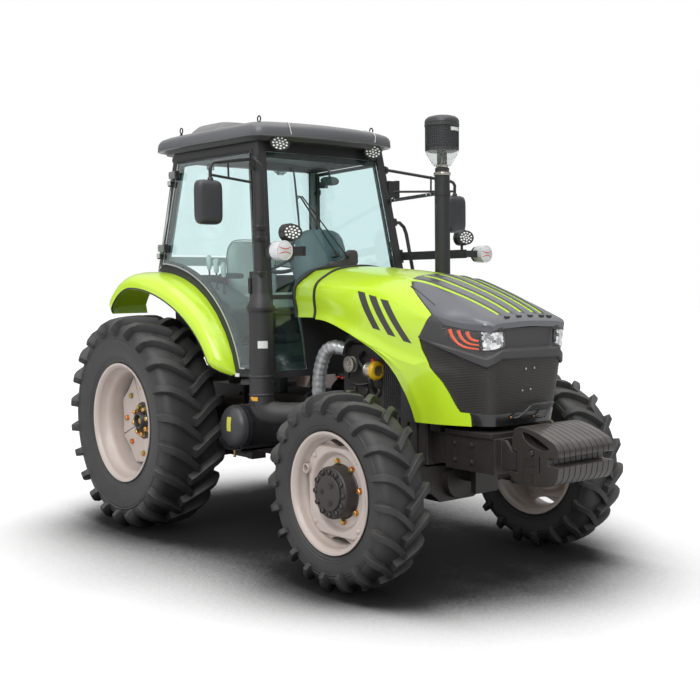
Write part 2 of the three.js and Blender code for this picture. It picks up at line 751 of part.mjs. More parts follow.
function rearWindowBody() {
  const half = (z) => wallHalf(rearEdge(z), z) - pillar.thick - 8;
  const [z0, z1] = [rearPillarFootZ + 4, cabRailZ - railHeight - 6];
  const outline = [
    [-half(z0), z0],
    [half(z0), z0],
    [half(z1), z1],
    [-half(z1), z1],
  ];
  const body = [onRear(frontPlate(outline, 14, 30))];
  const { x, z } = rearHinge;
  for (const y of [-rearHingeY, rearHingeY]) {
    const leaf = join(rod(V(x, y - 18, z), V(x, y + 18, z), 11, 12), block(x, x + 26, y - 18, y + 18, z - 6, z + 6));
    body.push(cut(leaf, rod(V(x, y - 30, z), V(x, y + 30, z), rearPinRadius + 1, 12)));
  }
  return join(body);
}
add("rear_window", rearWindowBody(), "glass");

// Floor, seat platform, rear wall and the inner wheelhouse walls are one welded tub.
function cabTubBody() {
  const { half, wall, platformX, platformZ, rearX } = tub;
  const frontX = frontEdge(cabFloorZ) - 62;
  const radius = sealRadius - SEAT - 12;
  const cheek = [
    [rearX, platformZ - wall],
    [platformX, platformZ - wall],
    [platformX, cabFloorZ - wall],
    [fenderArc.x + radius * Math.cos(angleAtHeight(radius, cabFloorZ - wall)), cabFloorZ - wall],
    ...arcPoints(radius - 6, angleAtHeight(radius - 6, cabFloorZ + 20), angleAtPillar(radius - 6, rearX), 8),
  ];
  const body = [
    block(platformX - wall, frontX, -half, half, cabFloorZ - wall, cabFloorZ),
    block(rearX, platformX, -half, half, platformZ - wall, platformZ),
    block(platformX - wall, platformX, -half, half, cabFloorZ - wall, platformZ),
    block(rearX, rearX + wall, -half, half, platformZ - wall, fenderArc.z + radius - 12),
    sidePlate(cheek, -half, -half + wall),
    sidePlate(cheek, half - wall, half),
  ];
  // Rubber mounts down to the driveline.
  const mounts = [
    [120, housing.z1, platformZ],
    [700, gearbox.z1, cabFloorZ],
    [1120, gearbox.z1, cabFloorZ],
  ];
  for (const [x, low, high] of mounts) {
    for (const y of [-150, 150]) body.push(rod(V(x, y, low + SEAT), V(x, y, high - 5), 45, 8));
  }
  return join(body);
}
add("cab_floor", cut(cabTubBody(), cabFrame), "blackPlastic");

// Roof: a thick moulding with a drooped lip all round and a raised housing at the back.
function roofBody() {
  const outline = (grow, z) =>
    [
      [1130, 0],
      [1108, -300],
      [1040, -520],
      [960, -572],
      [40, -640],
      [-80, -590],
      [-108, -300],
      [-112, 0],
      [-108, 300],
      [-80, 590],
      [40, 640],
      [960, 572],
      [1040, 520],
      [1108, 300],
    ].map(([x, y]) => V(510 + (x - 510) * grow, y * grow, z));
  const shell = loft([
    outline(0.985, cabRailZ + SEAT),
    outline(1.03, cabRailZ + 30),
    outline(1.045, cabRailZ + 62),
    outline(1.0, cabRailZ + 112),
    outline(0.9, cabRailZ + 136),
  ]);
  const hump = loft([
    [V(-60, -430, cabRailZ + 110), V(640, -400, cabRailZ + 110), V(640, 400, cabRailZ + 110), V(-60, 430, cabRailZ + 110)],
    [V(-20, -360, cabRailZ + 168), V(520, -330, cabRailZ + 168), V(520, 330, cabRailZ + 168), V(-20, 360, cabRailZ + 168)],
  ]);
  const body = [shell, hump];
  // Work lamps hang from the lip, two at each end.
  for (const [x, y] of [
    [1092, 381],
    [-92, 430],
  ]) {
    const out = Math.sign(x) * 26;
    for (const side of [-1, 1]) {
      body.push(rod(V(x - out, side * y, cabRailZ - 4), V(x + out, side * y, cabRailZ - 4), 56, 16));
    }
  }
  return join(body);
}
add("cab_roof", cut(roofBody(), cabFrame), "greyPaint");

// ---- Bonnet ------------------------------------------------------------------------------------------------
// Half sections from the foot, up the side and over to the middle, as [y, z] at each x.
const bonnetSections = [
  [1130, [352, 0], [372, 1440], [364, 1492], [370, 1570], [352, 1640], [290, 1686], [190, 1742], [0, 1768]],
  [1400, [362, 0], [384, 1440], [374, 1492], [382, 1580], [364, 1650], [298, 1700], [185, 1746], [0, 1766]],
  [1850, [376, 0], [402, 1330], [388, 1400], [396, 1520], [370, 1622], [285, 1688], [160, 1724], [0, 1736]],
  [2180, [380, 0], [402, 1228], [387, 1302], [399, 1445], [370, 1566], [264, 1652], [140, 1680], [0, 1690]],
  [2434, [362, 0], [386, 1178], [374, 1246], [394, 1390], [384, 1482], [270, 1574], [145, 1602], [0, 1612]],
  [2640, [300, 0], [326, 1150], [330, 1212], [343, 1345], [346, 1432], [286, 1496], [150, 1520], [0, 1528]],
  [2762, [252, 0], [285, 1130], [291, 1209], [300, 1330], [312, 1420], [276, 1448], [150, 1458], [0, 1462]],
  [2796, [214, 0], [246, 1130], [252, 1209], [258, 1330], [270, 1404], [236, 1424], [130, 1432], [0, 1436]],
];
const noseLean = (z) => Math.max(0, 1200 - z) * 0.1;
function bonnetShape(inset, foot, front) {
  const rings = bonnetSections.map(([x, ...half]) => {
    const right = half.map(([y, z]) => [Math.max(y - inset, 0), z === 0 ? foot : z - inset]);
    const left = right.slice(0, -1).reverse();
    const lean = (z) => (x > 2500 ? noseLean(z) : 0);
    return [...right.map(([y, z]) => V(x - lean(z), -y, z)), ...left.map(([y, z]) => V(x - lean(z), y, z))];
  });
  return warped(loft(rings), (p) => {
    if (p.x > 2795 - 40) p.x -= front;
  });
}
const bonnetShell = cut(bonnetShape(0, bonnetFootZ, 0), bonnetShape(bonnetSkin, bonnetFootZ - 60, bonnetSkin));

// The wheel arch that the bonnet's sides are cut to, as [x, z].
const archCurve = new THREE.SplineCurve(
  [
    [1464, 1456],
    [1773, 1352],
    [1969, 1272],
    [2107, 1186],
    [2205, 1075],
    [2275, 950],
    [2312, 800],
  ].map(([x, z]) => new THREE.Vector2(x, z)),
);
const archPoints = archCurve.getPoints(18).map((p) => [p.x, p.y]);
const archTool = sidePlate([[1000, 780], [1000, 1462], [1400, 1462], ...archPoints, [2312, 780]], -500, 500);

// The nose is everything ahead of a line that zigzags down the side from the cap's rear edge.
function noseTool(gap) {
  const line = [
    [2088, 1900],
    [2088, 1694],
    [2440, 1482],
    [2342, 1352],
    [2356, 1282],
    [2420, 1196],
    [2500, 1118],
    [2560, 1010],
    [2592, 958],
    [2652, 950],
    [2652, 780],
  ].map(([x, z]) => [x - gap, z]);
  return sidePlate([...line, [3000, 780], [3000, 1900]], -500, 500);
}
const seam = block(bonnetRearX, 3000, -500, 500, 700, 1900);
const trimmed = bonnetShell.intersect(seam).subtract(archTool);
const lampTool = (gap) =>
  [-1, 1].map((side) => {
    const [near, far] = [205 - gap, 450];
    return block(2545 - gap, 2900, Math.min(side * near, side * far), Math.max(side * near, side * far), 1302 - gap, 1412 + gap);
  });
const noseAll = trimmed.intersect(noseTool(0));
const hingeY = 60;
const bonnetHinge = V(bonnetRearX + 80, 0, 1730);
const eyeHalf = 8;
function bonnetEyes() {
  const { x, z } = bonnetHinge;
  return [-hingeY, hingeY].map((y) => {
    const lug = block(x - 10, x + 10, y - eyeHalf, y + eyeHalf, z, 1748);
    const eye = rod(V(x, y - eyeHalf, z), V(x, y + eyeHalf, z), 12, 12);
    return cut(join(lug, eye), rod(V(x, y - 30, z), V(x, y + 30, z), 6.8, 12));
  });
}
add("bonnet", join(trimmed.subtract(noseTool(1)), bonnetEyes()), "greenPaint");
add("bonnet_nose", cut(noseAll, lampTool(SEAT)), "blackPlastic");
addPair("headlamp", noseAll.intersect(lampTool(0)[0]), "lampGlass");

// The cowl is the fixed band between the bonnet and the cab.
function cowlBody() {
  const band = bonnetShell.intersect(block(1000, bonnetRearX - cowlGap, -500, 500, 1450, 1900));
  const clear = onFront(frontPlate([[-600, 1300], [600, 1300], [600, 1900], [-600, 1900]], -300, -4 + SEAT));
  const body = [band.subtract(clear)];
  // Goose-neck arms reach under the bonnet's rear edge, which dips between them and the band as it opens.
  const { x, z } = bonnetHinge;
  const arm = [
    [x + 7, z + 5],
    [x + 10, z - 12],
    [x + 10, z - 70],
    [1340, z - 70],
    [1340, z + 22],
    [1366, z + 22],
    [1366, z - 50],
    [x - 12, z - 50],
    [x - 10, z - 12],
    [x - 7, z + 5],
  ];
  for (const y of [-hingeY, hingeY]) {
    body.push(rod(V(x, y - 18, z), V(x, y + 18, z), 6, 12));
    for (const inner of [y - eyeHalf - 11, y + eyeHalf + 1]) body.push(sidePlate(arm, inner, inner + 10));
  }
  // Feet that stand the band on the firewall's foot rail.
  for (const side of [-1, 1]) {
    const y = side * 356;
    body.push(block(frontEdge(1500) - 3, 1380, y - 12, y + 12, 1451, 1475));
  }
  return join(body);
}
const cowl = cowlBody();
add("cowl", cowl.subtract(cabFrame), "greenPaint");

// ---- Cab interior ------------------------------------------------------------------------------------------
const wheelTilt = 32;
const steering = { x: 640, z: 1850, radius: 195, tube: 15 };
const steeringAxis = V(-Math.sin(wheelTilt * DEG), 0, Math.cos(wheelTilt * DEG));
const steeringCentre = V(steering.x, 0, steering.z);
function dashboardBody() {
  const outline = [
    [900, cabFloorZ + SEAT],
    [1120, cabFloorZ + SEAT],
    [1110, 1560],
    [1040, 1900],
    [1000, 2010],
    [930, 2020],
    [880, 1960],
    [870, 1700],
    [850, 1480],
  ];
  const columnTop = steeringCentre.clone().addScaledVector(steeringAxis, -30);
  const columnFoot = steeringCentre.clone().addScaledVector(steeringAxis, -430);
  return join(sidePlate(outline, -210, 210), rod(columnFoot, columnTop, 36, 16), rod(columnFoot, steeringCentre.clone().addScaledVector(steeringAxis, -2), 12, 12));
}
add("dashboard", dashboardBody(), "blackPlastic");

function steeringWheelBody() {
  const { radius, tube } = steering;
  const ring = new THREE.TorusGeometry(radius, tube, 6, 20);
  const turn = new THREE.Quaternion().setFromUnitVectors(V(0, 0, 1), steeringAxis);
  ring.applyQuaternion(turn).translate(...steeringCentre.toArray());
  const boss = rod(steeringCentre.clone().addScaledVector(steeringAxis, -26), steeringCentre.clone().addScaledVector(steeringAxis, 14), 42, 16);
  const bore = rod(steeringCentre.clone().addScaledVector(steeringAxis, -40), steeringCentre.clone().addScaledVector(steeringAxis, -1), 12.8, 12);
  const spokes = [90, 210, 330].map((a) => {
    const out = V(Math.cos(a * DEG), Math.sin(a * DEG), 0).applyQuaternion(turn);
    return bar(steeringCentre.clone().addScaledVector(out, 30), steeringCentre.clone().addScaledVector(out, radius - 4), 30, 10);
  });
  return cut(join(solid(ring), boss, spokes), bore);
}
add("steering_wheel", steeringWheelBody(), "blackPlastic");

const leaned = (body) => warped(body, (p) => (p.x -= Math.max(0, p.z - seat.baseTop) * 0.1));
const seat = { x0: 150, x1: 620, half: 240, baseTop: 1490, cushionTop: 1605, backTop: 2010 };
add(
  "seat_base",
  join(
    block(210, 540, -170, 170, tub.platformZ + SEAT, tub.platformZ + 60),
    block(250, 500, -130, 130, tub.platformZ + 50, seat.baseTop - 30),
    block(180, 580, -200, 200, seat.baseTop - 40, seat.baseTop),
    block(110, 200, -60, 60, seat.baseTop - 40, seat.baseTop),
    leaned(block(110, 124, -60, 60, seat.baseTop - 40, seat.baseTop + 260)),
  ),
  "blackPlastic",
);
function cushionBody(z0, z1, x0, x1, half, soft) {
  const outline = (grow) => [
    [x0 + soft, -half + grow],
    [x1 - soft, -half + grow],
    [x1, -half + soft + grow],
    [x1, half - soft - grow],
    [x1 - soft, half - grow],
    [x0 + soft, half - grow],
    [x0, half - soft - grow],
    [x0, -half + soft + grow],
  ];
  return topPlate(outline(0), z0, z1);
}
add("seat_cushion", cushionBody(seat.baseTop + SEAT, seat.cushionTop, 205, seat.x1, seat.half, 60), "seatCloth");
function backrestBody() {
  const z0 = seat.baseTop + 30;
  const outline = [
    [-seat.half + 20, z0],
    [seat.half - 20, z0],
    [seat.half - 10, seat.backTop - 150],
    [seat.half - 70, seat.backTop - 20],
    [seat.half - 130, seat.backTop],
    [-seat.half + 130, seat.backTop],
    [-seat.half + 70, seat.backTop - 20],
    [-seat.half + 10, seat.backTop - 150],
  ];
  return leaned(frontPlate(outline, 124 + SEAT, 204));
}
add("seat_backrest", backrestBody(), "seatCloth");

function consoleBody() {
  const outline = [
    [120, tub.platformZ + SEAT],
    [540, tub.platformZ + SEAT],
    [720, 1480],
    [700, 1540],
    [420, 1640],
    [120, 1690],
  ];
  const body = [sidePlate(outline, -tub.half + tub.wall + SEAT, -330)];
  for (const [x, z] of [
    [330, 1660],
    [420, 1636],
    [510, 1604],
  ]) {
    body.push(rod(V(x, -470, z - 30), V(x - 8, -470, z + 190), 7, 8));
    body.push(rod(V(x - 5, -470, z + 110), V(x - 9, -470, z + 210), 14, 10, 20));
  }
  return join(body);
}
add("control_console", consoleBody(), "blackPlastic");

// ---- Exhaust and air intake --------------------------------------------------------------------------------
const turnedAt = (x, y, profile, sides = 14) => moved(turnedZ(profile, sides), x, y, 0);

function exhaustBody() {
  const { x, y, muffler, pipe: small } = exhaust;
  const body = [
    turnedAt(x, y, [
      [0, 1010],
      [muffler, 1010],
      [muffler, 1500],
      [muffler + 6, 1506],
      [muffler + 6, 1534],
      [small + 12, 1610],
      [small + 10, 1700],
      [small, 1706],
      [small, 2330],
      [0, 2330],
    ]),
  ];
  const tip = [V(x, y, 2300), V(x, y, 2345), V(x - 22, y - 22, 2388), V(x - 62, y - 50, 2402)];
  const mouth = rod(V(x - 40, y - 36, 2399), V(x - 90, y - 70, 2405), small - 5, 10);
  body.push(cut(pipe(tip, small - 1, { steps: 6 }), mouth));
  // The inlet elbow comes up from a flange on the engine's side.
  const port = V(x + 255, -engine.half - 12, 870);
  const elbow = [V(x, y, 1020), V(x, y, 940), V(x + 90, y + 70, 880), V(x + 240, y + 270, 870), port];
  body.push(pipe(elbow, 46, { steps: 9, sides: 10 }));
  body.push(rod(port.clone().add(V(0, -12, 0)), port.clone().setY(-engine.half - SEAT), 62, 10));
  // Straps back to the front pillar hold the stack.
  for (const [z, held] of [
    [1200, muffler],
    [1990, small],
  ]) {
    const edge = frontEdge(z) - 24;
    body.push(wallFoot(edge, z, 44, 60), bar(offWall(edge, z, footDepth - 6), V(x, y, z), 12, 44));
    body.push(turnedAt(x, y, [[20, z - 22], [held + 8, z - 22], [held + 8, z + 22], [20, z + 22]]));
  }
  return join(body);
}
add("exhaust_stack", exhaustBody(), "blackPaint");

function intakePipeBody() {
  const { x, y, pipe: radius } = intake;
  const port = V(x, engine.half + 12, 1250);
  const route = [V(x, y, 2345), V(x, y, 1900), V(x, y, 1420), V(x, y - 30, 1330), V(x, y - 110, 1270), port];
  const body = [
    pipe(route, radius, { steps: 12, sides: 10 }),
    rod(port.clone().add(V(0, 14, 0)), port.clone().setY(engine.half + SEAT), radius + 12, 10),
    turnedAt(x, y, [[0, 2300], [radius + 9, 2300], [radius + 9, 2345], [0, 2345]]),
  ];
  const z = 2250;
  const edge = frontEdge(z) - 24;
  body.push(mirrored(wallFoot(edge, z, 44, 60)), bar(offWall(edge, z, footDepth - 6).multiply(V(1, -1, 1)), V(x, y, z), 12, 44));
  return join(body);
}
add("intake_pipe", intakePipeBody(), "blackPaint");

const drumBase = 2345 + SEAT;
add(
  "precleaner",
  moved(
    turnedZ([
      [0, drumBase],
      [46, drumBase],
      [50, drumBase + 44],
      [62, drumBase + 56],
      [intake.drum - 4, drumBase + 120],
      [intake.drum - 4, drumBase + 150],
      [intake.drum, drumBase + 154],
      [intake.drum, drumBase + 330],
      [intake.drum - 22, drumBase + 362],
      [0, drumBase + 375],
    ]),
    intake.x,
    intake.y,
    0,
  ),
  "blackPlastic",
);

// ---- Mirrors, lamps and rail -------------------------------------------------------------------------------
const mirror = { x: 1215, y: -1012, z: 2142, wide: 176, tall: 262, deep: 66 };
function mirrorBody() {
  const { x, y, z, wide, tall, deep } = mirror;
  const [w, t, c] = [wide / 2, tall / 2, 34];
  const head = [
    [y - w + c, z - t],
    [y + w - c, z - t],
    [y + w, z - t + c],
    [y + w, z + t - c],
    [y + w - c, z + t],
    [y - w + c, z + t],
    [y - w, z + t - c],
    [y - w, z - t + c],
  ];
  const [topZ, lowZ] = [2440, 2322];
  const foot = (height) => offWall(frontEdge(height) - 18, height, footDepth - 8);
  const top = foot(topZ);
  const arm = [top, V(x - 70, y + 120, topZ + 4), V(x - 8, y + 20, topZ - 14), V(x, y + 10, topZ - 60), V(x, y + 10, z + t - 4)];
  return join(
    frontPlate(head, x - deep / 2, x + deep / 2),
    pipe(arm, 11, { sides: 6, steps: 12 }),
    rod(foot(lowZ), V(x, y + 10, lowZ + 18), 9, 6),
    wallFoot(frontEdge(topZ) - 18, topZ, 30, 50),
    wallFoot(frontEdge(lowZ) - 18, lowZ, 30, 50),
  );
}
addPair("mirror", mirrorBody(), "blackPlastic");

const lampArm = { z: 1845, endX: 1672, endY: -655, lampX: 1659, lampY: -818, workX: 1580, workY: -706, workZ: 1954 };
function lampArmBody() {
  const { z, endX, endY, lampX, lampY, workX, workY, workZ } = lampArm;
  const edge = frontEdge(z) - 26;
  const root = offWall(edge, z, footDepth - 6);
  return join(
    wallFoot(edge, z, 48, 90),
    bar(root, V(endX, endY, z), 10, 56),
    block(endX - 16, endX - 6, lampY + 30, endY + 6, z - 22, z + 22),
    rod(V(lampX - 60, lampY, z), V(lampX + 32, lampY, z), 52, 12),
    block(workX - 15, workX + 15, workY - 12, endY + 24, z + 16, z + 26),
    rod(V(workX, workY, z + 18), V(workX, workY, workZ - 30), 9, 6),
    rod(V(workX - 30, workY, workZ), V(workX + 30, workY, workZ), 52, 12),
  );
}
addPair("lamp_arm", lampArmBody(), "blackPaint");

function grabRailBody() {
  const at = (z, out) => offWall(frontEdge(z) - 16, z, out);
  const route = [at(2080, 10), at(2076, 60), at(2040, 92), at(1960, 100), at(1500, 96), at(1330, 92), at(1290, 60), at(1286, 10)];
  return join(
    pipe(route, 13, { sides: 6, steps: 20 }),
    wallFoot(frontEdge(2080) - 16, 2080, 30, 50),
    wallFoot(frontEdge(1286) - 16, 1286, 30, 50),
  );
}
add("grab_rail_left", mirrored(grabRailBody()), "blackPaint");

// ---- Rear hitch --------------------------------------------------------------------------------------------
add(
  "drawbar",
  join(
    block(-700, 200, -45, 45, 398, 430),
    block(-190, -120, -120, 120, 398, housing.z0 - SEAT),
    block(130, 200, -60, 60, 398, housing.z0 - SEAT),
    rod(V(-650, 0, 380), V(-650, 0, 470), 16, 12),
  ),
  "castIron",
);

const liftArm = { eyeX: -430, eyeY: 262 + 12, eyeZ: 1060 };
function liftArmsBody() {
  const body = [rod(V(rockshaft.x, -rockshaft.half, rockshaft.z), V(rockshaft.x, rockshaft.half, rockshaft.z), rockshaft.radius, 20)];
  for (const side of [-1, 1]) {
    const y = side * (rockshaft.half - 16);
    body.push(rod(V(rockshaft.x, y - 15, rockshaft.z), V(rockshaft.x, y + 15, rockshaft.z), 58, 12));
    body.push(bar(V(rockshaft.x, y, rockshaft.z), V(liftArm.eyeX, y, liftArm.eyeZ), 26, 56));
    body.push(rod(V(liftArm.eyeX, y - 13, liftArm.eyeZ), V(liftArm.eyeX, y + 13, liftArm.eyeZ), 30, 12));
    body.push(rod(V(liftArm.eyeX, y, liftArm.eyeZ), V(liftArm.eyeX, y + side * 52, liftArm.eyeZ), 12, 12));
  }
  return join(body);
}
add("lift_arms", liftArmsBody(), "castIron");

// The lift rod's lower eye is wide, because its pin moves in it a little as the hitch rises and falls.
const rodPin = 9;
const rodEyeBore = 22;
const link = { tipX: -850, tipY: 400, tipZ: 520, rodX: -470 };
const linkTip = V(link.tipX, -link.tipY, link.tipZ);
const linkFoot = V(linkPin.x, -linkPin.y - 26, linkPin.z);
const linkAt = (x) => linkFoot.clone().lerp(linkTip, (x - linkFoot.x) / (linkTip.x - linkFoot.x));
function lowerLinkBody() {
  const pin = linkAt(link.rodX);
  const eye = cut(
    join(
      bar(linkFoot, linkTip, 20, 62),
      rod(V(linkFoot.x, linkFoot.y - 13, linkFoot.z), V(linkFoot.x, linkFoot.y + 13, linkFoot.z), 38, 16),
      rod(V(linkTip.x, linkTip.y - 24, linkTip.z), V(linkTip.x, linkTip.y + 24, linkTip.z), 40, 16),
    ),
    rod(V(linkFoot.x, linkFoot.y - 60, linkFoot.z), V(linkFoot.x, linkFoot.y + 60, linkFoot.z), linkPin.radius + 0.9, 16),
    rod(V(linkTip.x, linkTip.y - 60, linkTip.z), V(linkTip.x, linkTip.y + 60, linkTip.z), 15, 16),
  );
  return join(eye, rod(pin, V(pin.x, pin.y + 50, pin.z), rodPin, 12));
}
addPair("lower_link", lowerLinkBody(), "castIron");

function liftRodBody() {
  const y = -(rockshaft.half - 16) - 34;
  const top = V(liftArm.eyeX, y, liftArm.eyeZ);
  const pin = linkAt(link.rodX);
  const foot = V(pin.x, pin.y + 34, pin.z);
  const eye = (at, bore) => {
    const across = (half, radius) => rod(V(at.x, at.y - half, at.z), V(at.x, at.y + half, at.z), radius, 12);
    return cut(across(10, bore + 12), across(20, bore));
  };
  const lift = foot.clone().sub(top).normalize();
  return join(
    eye(top, 12.9),
    eye(foot, rodEyeBore),
    rod(top.clone().addScaledVector(lift, 20), foot.clone().addScaledVector(lift, -rodEyeBore - 6), 13, 8),
    rod(top.clone().lerp(foot, 0.3), top.clone().lerp(foot, 0.72), 22, 8),
  );
}
addPair("lift_rod", liftRodBody(), "castIron");

// ---- Placing -----------------------------------------------------------------------------------------------
const bounds = new THREE.Box3().setFromObject(tractor);
const middle = bounds.getCenter(V(0, 0, 0));
tractor.position.set(-middle.x, -middle.y, -bounds.min.z);
tractor.updateMatrixWorld(true);

export default tractor;
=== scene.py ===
import json
from math import asin, copysign, cos, dist, exp, hypot, pi, radians, sin, sqrt
import bmesh
import bpy
from mathutils import Matrix, Vector

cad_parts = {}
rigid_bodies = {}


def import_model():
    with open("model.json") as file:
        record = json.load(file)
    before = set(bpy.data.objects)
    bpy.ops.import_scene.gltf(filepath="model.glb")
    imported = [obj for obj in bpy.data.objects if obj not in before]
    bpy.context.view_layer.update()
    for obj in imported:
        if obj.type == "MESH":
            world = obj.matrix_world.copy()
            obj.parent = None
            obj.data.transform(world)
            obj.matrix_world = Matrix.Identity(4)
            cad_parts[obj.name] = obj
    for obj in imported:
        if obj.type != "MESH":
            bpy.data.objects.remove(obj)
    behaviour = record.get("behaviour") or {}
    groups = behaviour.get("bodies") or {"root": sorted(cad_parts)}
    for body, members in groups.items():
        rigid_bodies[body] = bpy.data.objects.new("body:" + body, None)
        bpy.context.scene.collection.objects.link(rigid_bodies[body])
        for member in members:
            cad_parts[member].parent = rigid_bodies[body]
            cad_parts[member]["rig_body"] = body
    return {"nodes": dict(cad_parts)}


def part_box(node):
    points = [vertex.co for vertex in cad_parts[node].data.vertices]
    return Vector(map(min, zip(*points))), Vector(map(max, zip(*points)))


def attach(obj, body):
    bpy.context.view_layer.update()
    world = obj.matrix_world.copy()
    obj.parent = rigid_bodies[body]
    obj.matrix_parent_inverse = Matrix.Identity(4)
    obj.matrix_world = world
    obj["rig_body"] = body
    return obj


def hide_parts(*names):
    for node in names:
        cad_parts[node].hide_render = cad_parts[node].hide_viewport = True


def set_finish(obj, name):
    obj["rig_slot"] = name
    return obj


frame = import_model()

scene = bpy.context.scene
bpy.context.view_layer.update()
rear_tyre_low, rear_tyre_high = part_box("rear_tyre_right")
rear_axle_x = (rear_tyre_low.x + rear_tyre_high.x) / 2


def at(x, y, z):
    return Vector((x / 1000 + rear_axle_x, y / 1000, z / 1000))


# The camera
# It stands ahead of the right front corner, a little above the wheels, and looks slightly down.


def put(name, data):
    made = bpy.data.objects.new(name, data)
    scene.collection.objects.link(made)
    return made


camera_data = bpy.data.cameras.new("camera")
camera_data.lens = 55.49
camera_data.sensor_width = 36.0
camera = put("camera", camera_data)
scene.camera = camera
yaw, pitch, roll = radians(38.97), radians(3.20), radians(-0.61)
ahead = Vector((-cos(yaw) * cos(pitch), sin(yaw) * cos(pitch), -sin(pitch)))
level_right = ahead.cross(Vector((0, 0, 1))).normalized()
level_up = level_right.cross(ahead)
camera_right = level_right * cos(roll) + level_up * sin(roll)
camera_up = level_up * cos(roll) - level_right * sin(roll)
camera_axes = Matrix((camera_right, camera_up, -ahead)).transposed()
camera.matrix_world = Matrix.Translation((5.541, -4.388, 1.619)) @ camera_axes.to_4x4()

# The studio
# A pale floor under broad soft lamps. The world is plain white to the eye and to glass, gives the object a
# weaker even light, and shows gloss a sky that is bright overhead and dark along the horizon.
scene.view_settings.view_transform = "Standard"


def colour(code):
    parts = [int(code[i:i + 2], 16) / 255 for i in (1, 3, 5)]
    linear = [c / 12.92 if c <= 0.04045 else ((c + 0.055) / 1.055) ** 2.4 for c in parts]
    return (*linear, 1.0)


# A key of settings that starts with a capital letter, or is a number, is one of the node's inputs.
def node(tree, kind, settings=None, links=None):
    made = tree.nodes.new(kind)
    for key, value in (settings or {}).items():
        if isinstance(key, int) or key[0].isupper():
            made.inputs[key].default_value = value
        else:
            setattr(made, key, value)
    for key, source in (links or {}).items():
        tree.links.new(source, made.inputs[key])
    return made


world = bpy.data.worlds.new("studio")
scene.world = world
world.use_nodes = True
sky = world.node_tree
sky.nodes.clear()
seen_by = node(sky, "ShaderNodeLightPath")
seen_white = node(sky, "ShaderNodeMath", {"operation": "MAXIMUM"},
    {0: seen_by.outputs["Is Camera Ray"], 1: seen_by.outputs["Is Transmission Ray"]})
sky_way = node(sky, "ShaderNodeTexCoord")
sky_up = node(sky, "ShaderNodeSeparateXYZ", {}, {0: sky_way.outputs["Generated"]})
gloss_level = node(sky, "ShaderNodeMapRange", {"From Min": 0.05, "From Max": 0.75, "To Min": 0.12,
    "To Max": 1.25}, {"Value": sky_up.outputs["Z"]})
shown = node(sky, "ShaderNodeMix", {2: 0.3}, {0: seen_by.outputs["Is Glossy Ray"], 3: gloss_level.outputs[0]})
sky_level = node(sky, "ShaderNodeMix", {3: 1.0}, {0: seen_white.outputs[0], 2: shown.outputs[0]})
sky_light = node(sky, "ShaderNodeBackground", {"Color": colour("#FFFFFF")}, {"Strength": sky_level.outputs[0]})
node(sky, "ShaderNodeOutputWorld", {}, {"Surface": sky_light.outputs[0]})


def sun_lamp(name, strength, spread, direction):
    data = bpy.data.lights.new(name, "SUN")
    data.energy = strength
    data.angle = radians(spread)
    lamp = put(name, data)
    lamp.rotation_mode = "QUATERNION"
    lamp.rotation_quaternion = Vector(direction).to_track_quat("-Z", "Y")


sun_lamp("overhead", 1.55, 60, (-0.15, 0.1, -1.0))
sun_lamp("key", 1.45, 35, (-0.7, 0.8, -0.75))
sun_lamp("side_fill", 0.5, 60, (0.4, 1.0, -0.3))


def finish(name, base, roughness, metallic=0.0, **shader_inputs):
    made = bpy.data.materials.new(name)
    made.use_nodes = True
    shader = made.node_tree.nodes["Principled BSDF"]
    shader.inputs["Base Color"].default_value = colour(base)
    shader.inputs["Roughness"].default_value = roughness
    shader.inputs["Metallic"].default_value = metallic
    for key, value in shader_inputs.items():
        shader.inputs[key.replace("_", " ")].default_value = value
    return made


floor_material = finish("studio_floor_paper", "#F4F4F4", 0.9, Specular_IOR_Level=0.1)
paper = floor_material.node_tree
paper_shader = paper.nodes["Principled BSDF"]
# Painted shadow: the paper's colour darkens where something stands close over it, which deepens the shadow
# beneath.
paper_open = node(paper, "ShaderNodeAmbientOcclusion", {"samples": 16, "Distance": 2.0})
paper_painted_shadow = node(paper, "ShaderNodeMapRange", {"interpolation_type": "SMOOTHSTEP", "From Min": 0.5,
    "From Max": 0.98, "To Min": 0.015, "To Max": 0.92}, {"Value": paper_open.outputs["AO"]})
paper.links.new(paper_painted_shadow.outputs[0], paper_shader.inputs["Base Color"])
paper_seen = node(paper, "ShaderNodeLightPath")
paper_glow = node(paper, "ShaderNodeEmission", {}, {"Color": paper_painted_shadow.outputs[0]})
paper_level = node(paper, "ShaderNodeMapRange", {"To Min": 0.0, "To Max": 0.2},
    {"Value": paper_seen.outputs["Is Camera Ray"]})
paper.links.new(paper_level.outputs[0], paper_glow.inputs["Strength"])
paper_both = node(paper, "ShaderNodeAddShader", {}, {0: paper_shader.outputs[0], 1: paper_glow.outputs[0]})
paper.links.new(paper_both.outputs[0], paper.nodes["Material Output"].inputs["Surface"])
floor_mesh = bpy.data.meshes.new("studio_floor")
floor_mesh.from_pydata([(-60, -60, 0), (60, -60, 0), (60, 60, 0), (-60, 60, 0)], [], [(0, 1, 2, 3)])
floor_mesh.materials.append(floor_material)
put("studio_floor", floor_mesh)

# Rubber tyres
# Moulded carcasses of carbon-black rubber, with tall slanted bars that meet in a V along the middle, so the
# V leads when the wheel rolls forward. The bars' outer ends run down the shoulder as bevelled blocks.


# A material's tree, and the place on the piece that its pattern follows.
def patterned(material):
    tree = material.node_tree
    return tree, node(tree, "ShaderNodeTexCoord").outputs["Object"]


def feed(tree, socket, source):
    tree.links.new(source, tree.nodes["Principled BSDF"].inputs[socket])


